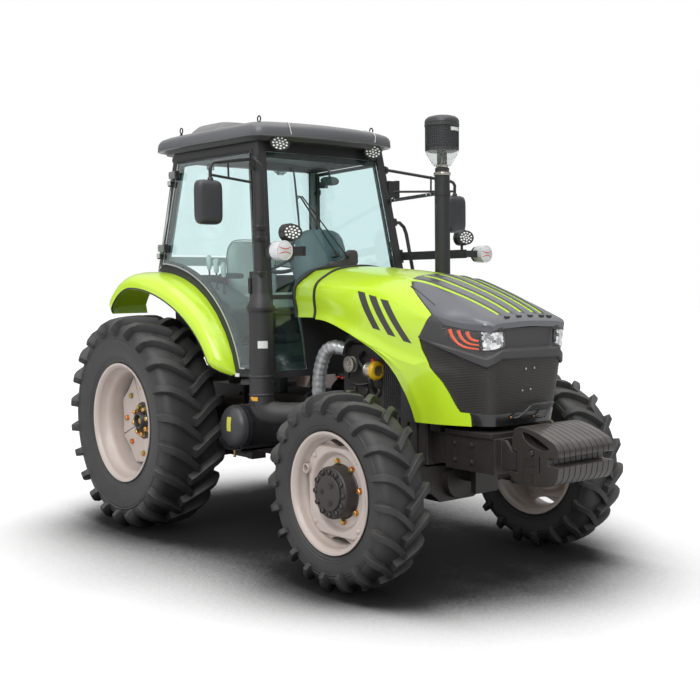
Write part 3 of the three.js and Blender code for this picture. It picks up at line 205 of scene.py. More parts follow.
# Soft colour drift, fine grain and a bump from the same grain. Sizes are in millimetres.
def weathered(material, light, dark, drift_size, grain_size, bump_depth, rough_low, rough_high, dust=None):
    tree, place = patterned(material)
    drift = node(tree, "ShaderNodeTexNoise", {"Scale": 1000 / drift_size, "Detail": 4.0, "Roughness": 0.6},
        {"Vector": place})
    grain = node(tree, "ShaderNodeTexNoise", {"Scale": 1000 / grain_size, "Detail": 2.0}, {"Vector": place})
    tone = node(tree, "ShaderNodeMix", {"data_type": "RGBA", 6: colour(dark), 7: colour(light)},
        {0: drift.outputs["Fac"]})
    worn = tone.outputs[2]
    if dust:
        # Dust gathers on faces that look up, in patches.
        shape_normal = node(tree, "ShaderNodeNewGeometry")
        facing = node(tree, "ShaderNodeSeparateXYZ", {}, {0: shape_normal.outputs["Normal"]})
        patch = node(tree, "ShaderNodeMath", {"operation": "MULTIPLY"},
            {0: facing.outputs["Z"], 1: drift.outputs["Fac"]})
        amount = node(tree, "ShaderNodeMapRange", {"From Min": 0.25, "From Max": 0.75, "To Max": 0.45},
            {"Value": patch.outputs[0]})
        dusty = node(tree, "ShaderNodeMix", {"data_type": "RGBA", 7: colour(dust)},
            {0: amount.outputs[0], 6: worn})
        worn = dusty.outputs[2]
    feed(tree, "Base Color", worn)
    matt = node(tree, "ShaderNodeMapRange", {"To Min": rough_low, "To Max": rough_high},
        {"Value": drift.outputs["Fac"]})
    feed(tree, "Roughness", matt.outputs[0])
    relief = node(tree, "ShaderNodeBump", {"Strength": 1.0, "Distance": bump_depth / 1000},
        {"Height": grain.outputs["Fac"]})
    feed(tree, "Normal", relief.outputs[0])
    return material


# Cured rubber with a little bloom: charcoal, nearly matt, greyer where it has rubbed or gathered dust.
tyre_rubber = weathered(finish("moulded_tyre_rubber", "#2B2B2C", 0.62, IOR=1.5), "#3A3A3A", "#1F1F20", 140,
    2.6, 0.45, 0.42, 0.7, "#66625D")


def smooth_line(points, steps):
    line = []
    ends = [points[0], *points, points[-1]]
    for a, b, c, d in zip(ends, ends[1:], ends[2:], ends[3:]):
        for i in range(steps):
            t = i / steps
            line.append(tuple(0.5 * (2 * q + (r - p) * t + (2 * p - 5 * q + 4 * r - s) * t * t
                + (3 * q - p - 3 * r + s) * t ** 3) for p, q, r, s in zip(a, b, c, d)))
    return [*line, tuple(points[-1])]


def round_angles(count):
    return [2 * pi * i / count for i in range(count)]


# Every add_ function adds to this one shape. piece() keeps it as a mesh and empties it.
shape = bmesh.new()
up, forward, outward, across_tractor = (0, 0, 1), (1, 0, 0), Vector((0, -1, 0)), (0.0, 1.0, 0.0)


# Turns a profile of (radius, distance along the axis), in millimetres, round an axis from a centre. A profile
# that doesn't end on the axis closes on itself.
def add_turned(profile, centre, axis, sides):
    axis = Vector(axis).normalized()
    across = axis.orthogonal().normalized()
    other = axis.cross(across)
    rings = []
    for radius, along in profile:
        middle = centre + axis * (along / 1000)
        if radius < 1e-6:
            rings.append([shape.verts.new(middle)])
            continue
        rings.append([shape.verts.new(middle + (across * cos(a) + other * sin(a)) * (radius / 1000))
            for a in round_angles(sides)])
    for first, second in zip(rings, rings[1:] + (rings[:1] if profile[-1][0] else [])):
        if len(first) == len(second) == 1:
            continue
        for i in range(sides):
            j = (i + 1) % sides
            corners = [first[i % len(first)], first[j % len(first)], second[j % len(second)],
                second[i % len(second)]]
            corners = [v for k, v in enumerate(corners) if v not in corners[:k]]
            shape.faces.new(corners)


def add_disc(radius, low, high, centre, axis, turns):
    add_turned([(0, low), (radius, low), (radius, high), (0, high)], centre, axis, turns)


# Skins rings of points into a tube, with a flat cap at each end unless it closes on itself.
def join_rings(rings, closed=False):
    for first, second in zip(rings, rings[1:] + (rings[:1] if closed else [])):
        for i in range(len(first)):
            j = (i + 1) % len(first)
            shape.faces.new([first[i], first[j], second[j], second[i]])
    if not closed:
        shape.faces.new(rings[0][::-1])
        shape.faces.new(rings[-1])


def add_loft(rings):
    join_rings([[shape.verts.new(p) for p in ring] for ring in rings])


def kept(name, materials):
    bmesh.ops.recalc_face_normals(shape, faces=shape.faces)
    mesh = bpy.data.meshes.new(name)
    shape.to_mesh(mesh)
    shape.clear()
    for material in materials if isinstance(materials, list) else [materials]:
        mesh.materials.append(material)
    mesh.shade_smooth()
    return put(name, mesh)


def piece(name, materials, body="root", slot=None, nodes=(), sharp=32, bevel=0, turns=2):
    made = kept(name, materials)
    made.data.set_sharp_from_angle(angle=radians(sharp))
    if bevel:
        edges = made.modifiers.new("rounded_edges", "BEVEL")
        edges.width = bevel / 1000
        edges.segments = turns
        edges.limit_method = "ANGLE"
        edges.angle_limit = radians(sharp)
        edges.harden_normals = True
    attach(made, body)
    if slot:
        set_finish(made, slot)
    if nodes:
        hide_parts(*nodes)
    return made


# The same piece on the tractor's other side, with its faces turned the right way out again.
def other_side(right, nodes=()):
    mesh = right.data.copy()
    mesh.transform(Matrix.Scale(-1, 4, (0, 1, 0)))
    mesh.flip_normals()
    left = put(right.name.replace("right", "left"), mesh)
    for edges in right.modifiers:
        copied = left.modifiers.new(edges.name, "BEVEL")
        for key in ("width", "segments", "limit_method", "angle_limit", "harden_normals"):
            setattr(copied, key, getattr(edges, key))
    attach(left, right["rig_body"].replace("right", "left"))
    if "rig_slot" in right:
        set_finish(left, right["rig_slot"])
    if nodes:
        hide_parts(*nodes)


def pair(name, materials, body="root", slot=None, nodes=(), **edges):
    right = piece(name, materials, body, slot, nodes, **edges)
    other_side(right, [n.replace("right", "left") for n in nodes])


def tree_with(name, sockets):
    tree = bpy.data.node_groups.new(name, "GeometryNodeTree")
    tree.interface.new_socket("Part", in_out="INPUT", socket_type="NodeSocketGeometry")
    for label, kind in sockets.items():
        tree.interface.new_socket(label, in_out="INPUT", socket_type="NodeSocket" + kind)
    tree.interface.new_socket("Finish", in_out="INPUT", socket_type="NodeSocketMaterial")
    tree.interface.new_socket("Parts", in_out="OUTPUT", socket_type="NodeSocketGeometry")
    return tree, node(tree, "NodeGroupInput")


def close_tree(tree, given, copies):
    real = node(tree, "GeometryNodeRealizeInstances", {}, {0: copies})
    painted = node(tree, "GeometryNodeSetMaterial", {}, {"Geometry": real.outputs[0],
        "Material": given.outputs["Finish"]})
    node(tree, "NodeGroupOutput", {}, {0: painted.outputs[0]})


# Copies of a part, spaced evenly round an axis through a centre.
ring_of_parts, given = tree_with("ring_of_parts", {"Count": "Int", "Centre": "Vector", "Axis": "Vector"})
spots = node(ring_of_parts, "GeometryNodePoints", {}, {"Count": given.outputs["Count"],
    "Position": given.outputs["Centre"]})
number = node(ring_of_parts, "GeometryNodeInputIndex")
share = node(ring_of_parts, "ShaderNodeMath", {"operation": "DIVIDE"},
    {0: number.outputs[0], 1: given.outputs["Count"]})
angle = node(ring_of_parts, "ShaderNodeMath", {"operation": "MULTIPLY", 1: 2 * pi}, {0: share.outputs[0]})
turn = node(ring_of_parts, "ShaderNodeVectorMath", {"operation": "SCALE"},
    {0: given.outputs["Axis"], "Scale": angle.outputs[0]})
back = node(ring_of_parts, "ShaderNodeVectorMath", {"operation": "SCALE", "Scale": -1.0},
    {0: given.outputs["Centre"]})
home = node(ring_of_parts, "GeometryNodeTransform", {}, {"Geometry": given.outputs["Part"],
    "Translation": back.outputs[0]})
copies = node(ring_of_parts, "GeometryNodeInstanceOnPoints", {},
    {"Points": spots.outputs[0], "Instance": home.outputs[0], "Rotation": turn.outputs[0]})
close_tree(ring_of_parts, given, copies.outputs[0])


# Runs a node tree on a part, and keeps the plain mesh that comes out.
def grown(part, tree, **inputs):
    growth = part.modifiers.new("growth", "NODES")
    growth.node_group = tree
    inputs["Finish"] = part.data.materials[0]
    for item in tree.interface.items_tree:
        if item.in_out == "INPUT" and item.name in inputs:
            growth[item.identifier] = inputs[item.name]
    bpy.context.view_layer.update()
    plain = bpy.data.meshes.new_from_object(part.evaluated_get(bpy.context.evaluated_depsgraph_get()))
    part.modifiers.remove(growth)
    part.data = plain
    return part


# The middles of the right wheels.
rear_wheel, front_wheel = (0, -813, 730), (2195, -794, 540)

# The outer half of a tyre's section, as (distance from the middle plane, radius), from the crown to the bead.
rear_tyre = {
    "centre": rear_wheel, "bars": 22, "height": 49, "lead": 138, "top": 42, "foot": 66, "seat": 384.3,
    "rings": ((588, 5), (567, 3), (452, 2.5), (437, 3)),
    "section": [(0, 681), (60, 680), (120, 677), (165, 668), (192, 651), (206, 630), (213, 600), (215, 565),
                (213, 530), (207, 490), (198, 455), (188, 430), (181, 414), (173, 404)],
}
front_tyre = {
    "centre": front_wheel, "bars": 20, "height": 38, "lead": 104, "top": 31, "foot": 48, "seat": 308.3,
    "rings": ((447, 4), (432, 2.4), (366, 2.2), (352, 2.6)),
    "section": [(0, 502), (45, 501), (90, 496), (118, 486), (134, 470), (142, 449), (145, 428), (143, 405),
                (137, 380), (129, 360), (122, 345), (116, 336), (110, 328)],
}


def tyre_line(tyre):
    line = smooth_line(tyre["section"], 8)
    for ring, rise in tyre["rings"]:
        line = [(y + rise * exp(-((r - ring) / 2.6) ** 2) if y > 0.6 * tyre["section"][-1][0] else y, r)
                for y, r in line]
    return line


def carcass(name, tyre, body):
    line = tyre_line(tyre)
    bead = tyre["section"][-1][0]
    half = [(r, -y) for y, r in line]
    profile = [(r, -along) for r, along in reversed(half)] + half[1:]
    profile += [(tyre["seat"], -bead), (tyre["seat"], bead)]
    add_turned(profile, at(*tyre["centre"]), across_tractor, 112)
    return piece(name, tyre_rubber, body, "tyre_rubber", [name.replace("carcass", "tyre")], sharp=40)


def bars(name, tyre, body):
    line = tyre_line(tyre)
    widest = max(y for y, r in line)
    hub_x, hub_y, hub_z = tyre["centre"]
    crown = tyre["section"][0][1]
    sidewall = tyre["section"][6]
    for side in (-1, 1):
        offset = pi / tyre["bars"] if side > 0 else 0
        rings = []
        stations = [(-0.075, 0.1), (-0.06, 0.96), (0.03, 1.0), (0.16, 1.0), (0.3, 1.0), (0.45, 1.0),
            (0.6, 1.0), (0.72, 1.0), (0.8, 1.0), (0.87, 1.0), (0.885, 0.96), (0.95, 0.5), (0.965, 0.42),
            (1.0, 0.05)]
        # A station's place along the section runs from the crown's middle to the foot of the end block.
        reach = [(y, r) for y, r in line if r >= sidewall[1] - 6]
        for where, rise in stations:
            k = abs(where) * (len(reach) - 1)
            i = min(int(k), len(reach) - 2)
            (y0, r0), (y1, r1) = reach[i], reach[i + 1]
            y, r = y0 + (y1 - y0) * (k - i), r0 + (r1 - r0) * (k - i)
            normal = Vector((r0 - r1, y1 - y0)).normalized()
            out_y, out_r = normal.x, normal.y
            if where < 0:
                y, out_y = -y, -out_y
            inward = max(0.0, 1 - max(y, -12) / widest)
            slope = 1.35 * tyre["lead"] / widest * inward ** 0.35
            wide = sqrt(1 + min(slope, 1.1) ** 2)
            lead = tyre["lead"] * inward ** 1.35
            taper = 0.82 + 0.18 * min(1, max(0, y) / widest)
            top, foot = tyre["top"] * wide * taper / 2, tyre["foot"] * wide * taper / 2
            height = tyre["height"] * rise
            ring = []
            for along, high in ((-foot, -6), (-top - 1.5, height * 0.93), (-top + 1.5, height),
                    (top - 1.5, height), (top + 1.5, height * 0.93), (foot, -6)):
                radius = r + out_r * high
                turned = (lead + along) / crown + offset
                ring.append(shape.verts.new(at(hub_x + radius * sin(turned),
                    hub_y + side * (y + out_y * high), hub_z + radius * cos(turned))))
            rings.append(ring)
        join_rings(rings)
    made = piece(name, tyre_rubber, body, "tyre_rubber", sharp=30)
    return grown(made, ring_of_parts, Count=tyre["bars"], Centre=at(*tyre["centre"]), Axis=across_tractor)


# Fine raised ribs radiate over the rear sidewall, between the bead and the widest part.
rib_line = [at(r, -813 - out, 730) for r, out in ((470, 199), (500, 207), (530, 211.5), (552, 213))]
side_step, rise = Vector((0, 0, 0.0013)), Vector((0, 0.0026, 0))
add_loft([[p + side_step, p - rise, p - side_step] for p in rib_line])
rib = piece("rear_sidewall_ribs_right", tyre_rubber, "rear_wheel_right", "tyre_rubber", sharp=60)
other_side(grown(rib, ring_of_parts, Count=72, Centre=at(*rear_wheel), Axis=across_tractor))

for end, tyre in (("rear", rear_tyre), ("front", front_tyre)):
    side_wall = carcass(f"{end}_carcass_right", tyre, f"{end}_wheel_right")
    other_side(side_wall, [f"{end}_tyre_left"])
    tread = bars(f"{end}_tread_bars_right", tyre, f"{end}_wheel_right")
    other_side(tread)

# Wheel rims
# Rolled steel barrels with a bright rolled edge, in warm grey enamel. The rear centre is an octagonal plate in
# four sectors, bolted on deep inside; the front centre is one pressed dish with four hand holes and rivets.
# Stove enamel over a rolled surface: satin, with a faint ripple and dust in the corners.
rim_enamel = weathered(finish("stove_enamel_rim", "#BDB0AA", 0.42, Coat_Weight=0.15), "#C6BAB4", "#B3A69F",
    160, 6.0, 0.05, 0.34, 0.5, "#9C9288")


def barrel(end, flange, half, seat, drop, wheel):
    out = [(flange - 9, half - 1), (flange - 5, half), (flange - 1, half - 0.5), (flange + 1, half - 4),
           (flange + 1, half - 8), (flange - 2, half - 11), (seat + 8, half - 14), (seat + 1, half - 19),
           (seat, half - 26), (seat - 3, half * 0.6), (drop + 12, half * 0.52), (drop + 1, half * 0.44),
           (drop, half * 0.38)]
    inner = [(drop - 10, half * 0.36), (drop - 8, half * 0.46), (drop + 3, half * 0.56),
        (seat - 13, half * 0.64), (seat - 10, half - 28), (seat - 7, half - 18), (seat + 2, half - 10),
        (flange - 16, half - 4), (flange - 11, half - 1.5)]
    profile = [(r, -a) for r, a in reversed(inner)] + inner + out
    profile += [(r, -a) for r, a in reversed(out)]
    add_turned(profile, at(*wheel), outward, 112)
    pair(f"{end}_barrel_right", rim_enamel, f"{end}_wheel_right", "rim_paint", [f"{end}_rim_right"], sharp=50)


barrel("rear", 406, 190, 384, 350, rear_wheel)
barrel("front", 330, 127, 308, 292, front_wheel)


# A closed skin between two grids of points. Columns join up at the ends when it goes all the way round.
def add_sheet(top, bottom, wrap=False):
    upper = [[shape.verts.new(p) for p in row] for row in top]
    lower = [[shape.verts.new(p) for p in row] for row in bottom]
    rows, columns = len(upper), len(upper[0])
    count = columns if wrap else columns - 1
    for r in range(rows - 1):
        for c in range(count):
            d = (c + 1) % columns
            shape.faces.new([upper[r][c], upper[r][d], upper[r + 1][d], upper[r + 1][c]])
            shape.faces.new([lower[r][c], lower[r + 1][c], lower[r + 1][d], lower[r][d]])
    for r in (0, rows - 1):
        for c in range(count):
            d = (c + 1) % columns
            shape.faces.new([upper[r][c], upper[r][d], lower[r][d], lower[r][c]])
    if not wrap:
        for c in (0, columns - 1):
            for r in range(rows - 1):
                shape.faces.new([upper[r][c], upper[r + 1][c], lower[r + 1][c], lower[r][c]])


# A thin sheet: its other face lies one step away.
def add_film(rows, x, y, z):
    add_sheet(rows, [[p + Vector((x, y, z)) for p in row] for row in rows])


def wheel_point(wheel, radius, angle, out):
    x, y, z = wheel
    return at(x + radius * cos(angle), y - out, z + radius * sin(angle))


# The rear centre: four sectors with open joints between them, on a round disc behind.
octagon_flat = 298
for quarter in range(4):
    first, last = radians(22.5 + 90 * quarter) + 0.014, radians(112.5 + 90 * quarter) - 0.014
    top, bottom = [], []
    for share, out in ((0.0, 8), (0.02, 12), (0.5, 12), (0.8, 12), (0.97, 12), (1.0, 8)):
        row, under = [], []
        for i in range(25):
            turned = first + (last - first) * i / 24
            inner = 122
            bend = (turned + pi / 8) % (pi / 4) - pi / 8
            outer = min(octagon_flat / cos(bend), 322) - 5 * cos(bend * 8)
            radius = inner + (outer - inner) * share
            row.append(wheel_point(rear_wheel, radius, turned, out))
            under.append(wheel_point(rear_wheel, radius, turned, -2))
        top.append(row)
        bottom.append(under)
    add_sheet(top, bottom)
add_turned([(120, -16), (300, -16), (300, -3), (120, -3)], at(*rear_wheel), outward, 96)
pair("rear_wheel_centre_right", rim_enamel, "rear_wheel_right", "rim_paint", bevel=1.2)


# The front centre: flat where it is bolted, then coned out to a rounded square and turned back to the barrel.
def front_dish(radius, angle):
    square = 236 / (abs(cos(angle)) ** 6 + abs(sin(angle)) ** 6) ** (1 / 6)
    square = min(square, 276)
    rise = min(1, max(0, (radius - 188) / 34))
    fall = min(1, max(0, (radius - square) / 14))
    rise, fall = rise * rise * (3 - 2 * rise), fall * fall * (3 - 2 * fall)
    return 30 + 36 * rise - 30 * fall


top, bottom = [], []
for k in range(31):
    row, under = [], []
    for turned in round_angles(144):
        swing = (turned + pi / 4) % (pi / 2) - pi / 4
        hole = max(0.0, cos(swing / radians(19) * pi / 2)) if abs(swing) < radians(19) else 0.0
        edge = 289 - 44 * hole ** 0.8
        radius = 144 + (edge - 144) * k / 30
        out = front_dish(radius, turned)
        row.append(wheel_point(front_wheel, radius, turned, out))
        under.append(wheel_point(front_wheel, radius, turned, out - 9))
    top.append(row)
    bottom.append(under)
add_sheet(top, bottom, wrap=True)
# A pressed cup on the barrel guards the valve.
cup = wheel_point(front_wheel, 262, radians(157), 84)
add_turned([(20, -38), (27, -36), (27, 4), (23, 6), (19, 4), (19, -30)], cup, outward, 32)
pair("front_wheel_centre_right", rim_enamel, "front_wheel_right", "rim_paint", sharp=50)

# Wheel bolts and rivets
# Zinc-plated and yellow-passivated steel, so each hexagon is somewhere between straw, green and copper. The
# rivets at the front dish's corners are painted over with the rim.
zinc_yellow = finish("yellow_passivated_zinc", "#C4934E", 0.34, 0.85)
tree, place = patterned(zinc_yellow)
film = node(tree, "ShaderNodeTexNoise", {"Scale": 1000 / 28, "Detail": 1.0}, {"Vector": place})
tint = node(tree, "ShaderNodeValToRGB", {}, {"Fac": film.outputs["Fac"]})
tint.color_ramp.elements[0].color = colour("#C77F4C")
tint.color_ramp.elements[0].position = 0.38
tint.color_ramp.elements[1].color = colour("#93A06A")
tint.color_ramp.elements[1].position = 0.64
straw = tint.color_ramp.elements.new(0.5)
straw.color = colour("#D2A458")
feed(tree, "Base Color", tint.outputs[0])


# A hexagon head on a washer, with a chamfered crown. Sizes in millimetres.
def add_bolt(centre, axis, across, tall, washer):
    add_turned([(0, 0), (washer, 0), (washer, 2.5), (across * 0.5, 3.2), (0, 3.2)], centre, axis, 20)
    head = across / 2 / cos(pi / 6)
    add_turned([(0, 3), (head, 3), (head, 3 + tall * 0.82), (head * 0.8, 3 + tall), (0, 3 + tall)], centre,
        axis, 6)


def bolt_ring(name, middle, radius, start, across, tall, washer, body):
    side = outward.orthogonal().normalized()
    spot = middle + Matrix.Rotation(radians(start), 3, outward) @ side * (radius / 1000)
    add_bolt(spot, outward, across, tall, washer)
    ring = piece(name, zinc_yellow, body, sharp=25)
    other_side(grown(ring, ring_of_parts, Count=8, Centre=middle, Axis=across_tractor))


rear_hub_middle, front_hub_middle = at(*rear_wheel), at(*front_wheel)
bolt_ring("rear_plate_bolts_right", rear_hub_middle + outward * 0.012, 228, 0, 30, 18, 20, "rear_wheel_right")
bolt_ring("rear_hub_studs_right", rear_hub_middle + outward * 0.022, 94, 12, 30, 24, 20, "rear_wheel_right")
bolt_ring("front_dish_bolts_right", front_hub_middle + outward * 0.030, 163, 8, 27, 18, 17, "front_wheel_right")
for corner in range(4):
    spot = wheel_point(front_wheel, 258, radians(45 + 90 * corner), front_dish(258, pi / 4))
    add_turned([(15, -2), (15, 3), (11, 8), (0, 9)], spot, outward, 20)
pair("front_dish_rivets_right", rim_enamel, "front_wheel_right", "rim_paint", sharp=60)

# Wheel hubs
# Cast iron in dark grey paint. The front hub is the end reduction's drum: a machined rim of twelve sunk bolts
# round a plain cover with three small plugs. The rear hub is a flange on the axle with a hollow end.
# Painted casting: brown-black, satin, with the sand mould's fine pebble.
cast_iron = weathered(finish("painted_cast_iron", "#2F2A28", 0.46), "#363130", "#272321", 130, 2.6, 0.18,
    0.36, 0.54, "#5C554E")
drum = [(0, 40), (150, 12), (150, 30), (144, 34), (141, 40), (141, 100), (138, 106), (133, 110), (128, 112)]
face = [(97, 111), (97, 118), (94, 121), (60, 123), (0, 124)]
add_turned(drum + face, front_hub_middle, outward, 96)
pair("front_drum_right", cast_iron, "front_wheel_right", "cast_iron", ["front_hub_right"], sharp=38)
# Each sunk bolt sits in its own round boss at the drum's rim.
boss = front_hub_middle + outward * 0.112 + Vector((0.117, 0, 0))
add_turned([(0, -8), (16, -8), (16, 7), (13, 11), (11.5, 10.5), (11.5, 2), (0, 2)], boss, outward, 20)
add_turned([(0, 1), (9.4, 1), (9.4, 7), (7.6, 8.5), (0, 8.5)], boss, outward, 6)
bosses = piece("front_drum_bosses_right", cast_iron, "front_wheel_right", "cast_iron", sharp=30)
other_side(grown(bosses, ring_of_parts, Count=12, Centre=front_hub_middle, Axis=across_tractor))
for turned, radius in ((60, 17), (175, 14), (290, 17)):
    spot = wheel_point(front_wheel, 52, radians(turned), 122)
    add_turned([(0, 0), (radius, 0), (radius, 5), (radius - 4, 7), (radius - 6, 5), (0, 5)], spot, outward,
        24)
    add_disc(7, 5, 10, spot, outward, 6)
pair("front_drum_plugs_right", cast_iron, "front_wheel_right", "cast_iron", sharp=30)
add_turned([(0, -14), (128, -14), (128, 4), (121, 10), (112, 12), (72, 14), (64, 24), (60, 46), (54, 52),
    (44, 52), (40, 46), (38, 20), (0, 18)], rear_hub_middle + outward * 0.008, outward, 72)
pair("rear_hub_flange_right", cast_iron, "rear_wheel_right", "cast_iron", sharp=35)
add_turned([(0, 30), (22, 30), (22, 40), (18, 44), (0, 44)], rear_hub_middle, outward, 24)
pair("rear_hub_end_right", zinc_yellow, "rear_wheel_right", sharp=35)

# Bonnet
# A pressed steel shell in gloss lime-green enamel: the upper body over the engine, and the fairings that sweep
# down behind the grille. Its cross sections, from the foot of the wall to the middle of the top, are half
# widths and heights at eight stations.
bonnet_stations = {
    1130: ((352, 862), (372, 1440), (364, 1492), (370, 1570), (352, 1640), (290, 1686), (190, 1742), (0, 1768)),
    1400: ((362, 862), (384, 1440), (374, 1492), (382, 1580), (364, 1650), (298, 1700), (185, 1746), (0, 1766)),
    1850: ((376, 862), (402, 1330), (388, 1400), (396, 1520), (370, 1622), (285, 1688), (160, 1724), (0, 1736)),
    2180: ((380, 862), (402, 1228), (387, 1302), (399, 1445), (370, 1566), (264, 1652), (140, 1680), (0, 1690)),
    2434: ((362, 862), (386, 1178), (374, 1246), (394, 1390), (384, 1482), (270, 1574), (145, 1602), (0, 1612)),
    2640: ((300, 862), (326, 1150), (330, 1212), (343, 1345), (346, 1432), (286, 1496), (150, 1520), (0, 1528)),
    2762: ((252, 862), (285, 1130), (291, 1209), (300, 1330), (312, 1420), (276, 1448), (150, 1458), (0, 1462)),
    2796: ((214, 862), (246, 1130), (252, 1209), (258, 1330), (270, 1404), (236, 1424), (130, 1432), (0, 1436)),
}


def along_path(path, t):
    for (a, p), (b, q) in zip(path, path[1:]):
        if t <= b or b == path[-1][0]:
            share = (t - a) / (b - a)
            return p + (q - p) * share


# Each point of the section runs along the bonnet on one smooth line through its stations.
station_list = sorted(bonnet_stations)
station_lines = []
for k in range(8):
    for c in range(2):
        values = [bonnet_stations[x][k][c] for x in station_list]
        slopes = [0.0] * len(values)
        for i in range(1, len(values) - 1):
            before = (values[i] - values[i - 1]) / (station_list[i] - station_list[i - 1])
            after = (values[i + 1] - values[i]) / (station_list[i + 1] - station_list[i])
            slopes[i] = 0 if before * after <= 0 else 2 * before * after / (before + after)
        slopes[0] = (values[1] - values[0]) / (station_list[1] - station_list[0])
        slopes[-1] = (values[-1] - values[-2]) / (station_list[-1] - station_list[-2])
        station_lines.append((values, slopes))


def bonnet_section(x):
    x = min(max(x, station_list[0]), station_list[-1])
    i = max(j for j in range(len(station_list) - 1) if station_list[j] <= x)
    wide = station_list[i + 1] - station_list[i]
    t = (x - station_list[i]) / wide
    found = []
    for values, slopes in station_lines:
        p, q, m, n = values[i], values[i + 1], slopes[i] * wide, slopes[i + 1] * wide
        found.append((2 * t ** 3 - 3 * t * t + 1) * p + (t ** 3 - 2 * t * t + t) * m
            + (3 * t * t - 2 * t ** 3) * q + (t ** 3 - t * t) * n)
    return list(zip(found[0::2], found[1::2]))


# Half width and height of the skin at a share of the way round: whole numbers are the section's points.
def bonnet_skin(x, round_):
    points = bonnet_section(x)
    if round_ <= 1:
        return tuple(p + (q - p) * round_ for p, q in zip(points[0], points[1]))
    i = min(int(round_), 6)
    mirrored = (-points[6][0], points[6][1])
    a = points[i - 1] if i > 1 else (points[1][0] * 2 - points[2][0], points[1][1] * 2 - points[2][1])
    b, c = points[i], points[i + 1]
    d = points[i + 2] if i < 6 else mirrored
    t = round_ - i
    return tuple(0.5 * (2 * q + (r - p) * t + (2 * p - 5 * q + 4 * r - s) * t * t + (3 * q - p - 3 * r + s)
        * t ** 3) for p, q, r, s in zip(a, b, c, d))


# The last place between two bounds at which a test still holds.
def last_place(low, high, holds, steps=18):
    for _ in range(steps):
        middle = (low + high) / 2
        if holds(middle):
            low = middle
        else:
            high = middle
    return low


def wall_half(x, z):
    points = bonnet_section(x)
    if z <= points[1][1]:
        return points[0][0] + (points[1][0] - points[0][0]) * (z - 862) / (points[1][1] - 862)
    return bonnet_skin(x, last_place(1.0, 5.0, lambda round_: bonnet_skin(x, round_)[1] < z))[0]


# The green body stops at a zigzag line, given as how far forward it reaches at each height.
front_line = ((862, 2652), (950, 2652), (958, 2592), (1010, 2560), (1118, 2500), (1196, 2420), (1282, 2356),
    (1352, 2342), (1482, 2440), (1694, 2088), (1900, 2088))


def body_end(round_):
    return last_place(2000.0, 2500.0, lambda x: x < along_path(front_line, bonnet_skin(x, round_)[1]), 22)


# The sheet's inner face: every point of the outer grid moved in along its own normal.
def inner_grid(outer, thick):
    rows, columns = len(outer), len(outer[0])
    inner = []
    for r in range(rows):
        line = []
        for c in range(columns):
            down = outer[min(r + 1, rows - 1)][c] - outer[max(r - 1, 0)][c]
            over = outer[r][min(c + 1, columns - 1)] - outer[r][max(c - 1, 0)]
            away = down.cross(over).normalized()
            middle = Vector((outer[r][c].x - 0.25, 0, 1.15))
            if away.dot(outer[r][c] - middle) < 0:
                away = -away
            line.append(outer[r][c] - away * (thick / 1000))
        inner.append(line)
    return inner


def add_shell(outer, thick):
    add_sheet(outer, inner_grid(outer, thick))


# Rows given for the left half, run right across the tractor.
def both_halves(rows):
    return [[at(x, -y, z) for x, y, z in row] + [at(x, y, z) for x, y, z in reversed(row[:-1])] for row in rows]


# Two-pack enamel over pressed steel: deep gloss, hardly any peel, with a faint drift in depth of colour.
green_enamel = weathered(finish("gloss_lime_green_enamel", "#C6EA2C", 0.3, Coat_Weight=0.55,
    Coat_Roughness=0.06), "#CBEF30", "#C0E42A", 900, 2.5, 0.01, 0.24, 0.32)
rounds = [1 + 6 * i / 40 for i in range(41)]
ends = {round_: body_end(round_) for round_ in rounds}
rows = []
for r in range(49):
    row = []
    for round_ in rounds:
        x = 1400 + (ends[round_] - 1400) * r / 48
        row.append((x, *bonnet_skin(x, round_)))
    rows.append(row)
add_shell(both_halves(rows), 8)
piece("bonnet_body", green_enamel, "bonnet", "green_paint", ["bonnet"], sharp=24, bevel=1.5)

arch_line = ((1773, 1352), (1871, 1314), (1969, 1272), (2045, 1232), (2107, 1186), (2160, 1134),
    (2205, 1075), (2243, 1016), (2275, 950), (2296, 884))
nose_line = ((2385, 1230), (2420, 1196), (2466, 1150), (2500, 1118), (2533, 1066), (2560, 1010),
    (2580, 976), (2592, 958), (2650, 955), (2652, 884))


def spaced(path, count):
    lengths = [0.0]
    for p, q in zip(path, path[1:]):
        lengths.append(lengths[-1] + dist(p, q))
    found = []
    for i in range(count + 1):
        far = lengths[-1] * i / count
        k = max(j for j in range(len(path) - 1) if lengths[j] <= far + 1e-9)
        share = (far - lengths[k]) / (lengths[k + 1] - lengths[k])
        found.append(tuple(a + (b - a) * share for a, b in zip(path[k], path[k + 1])))
    return found


def belt_point(x):
    return x, bonnet_section(x)[1][1]


belt_run = [belt_point(1773 + 612 * i / 20) for i in range(21)]
lower_rear = spaced(list(arch_line), 44)
lower_front = spaced(belt_run[:-1] + list(nose_line), 44)
outer = []
for (x0, z0), (x1, z1) in zip(lower_rear, lower_front):
    row = []
    for k in range(13):
        x, z = x0 + (x1 - x0) * k / 12, z0 + (z1 - z0) * k / 12
        # A soft fold follows the arch, a hand's width in from its edge.
        fold = 5 * exp(-((k / 12 * dist((x0, z0), (x1, z1)) - 60) / 26) ** 2)
        row.append(at(x, -wall_half(x, min(z, belt_point(x)[1])) - fold * (k > 0), z))
    outer.append(row)
add_shell(outer, 8)
pair("bonnet_fairing_right", green_enamel, "bonnet", "green_paint", sharp=24, bevel=1.5)

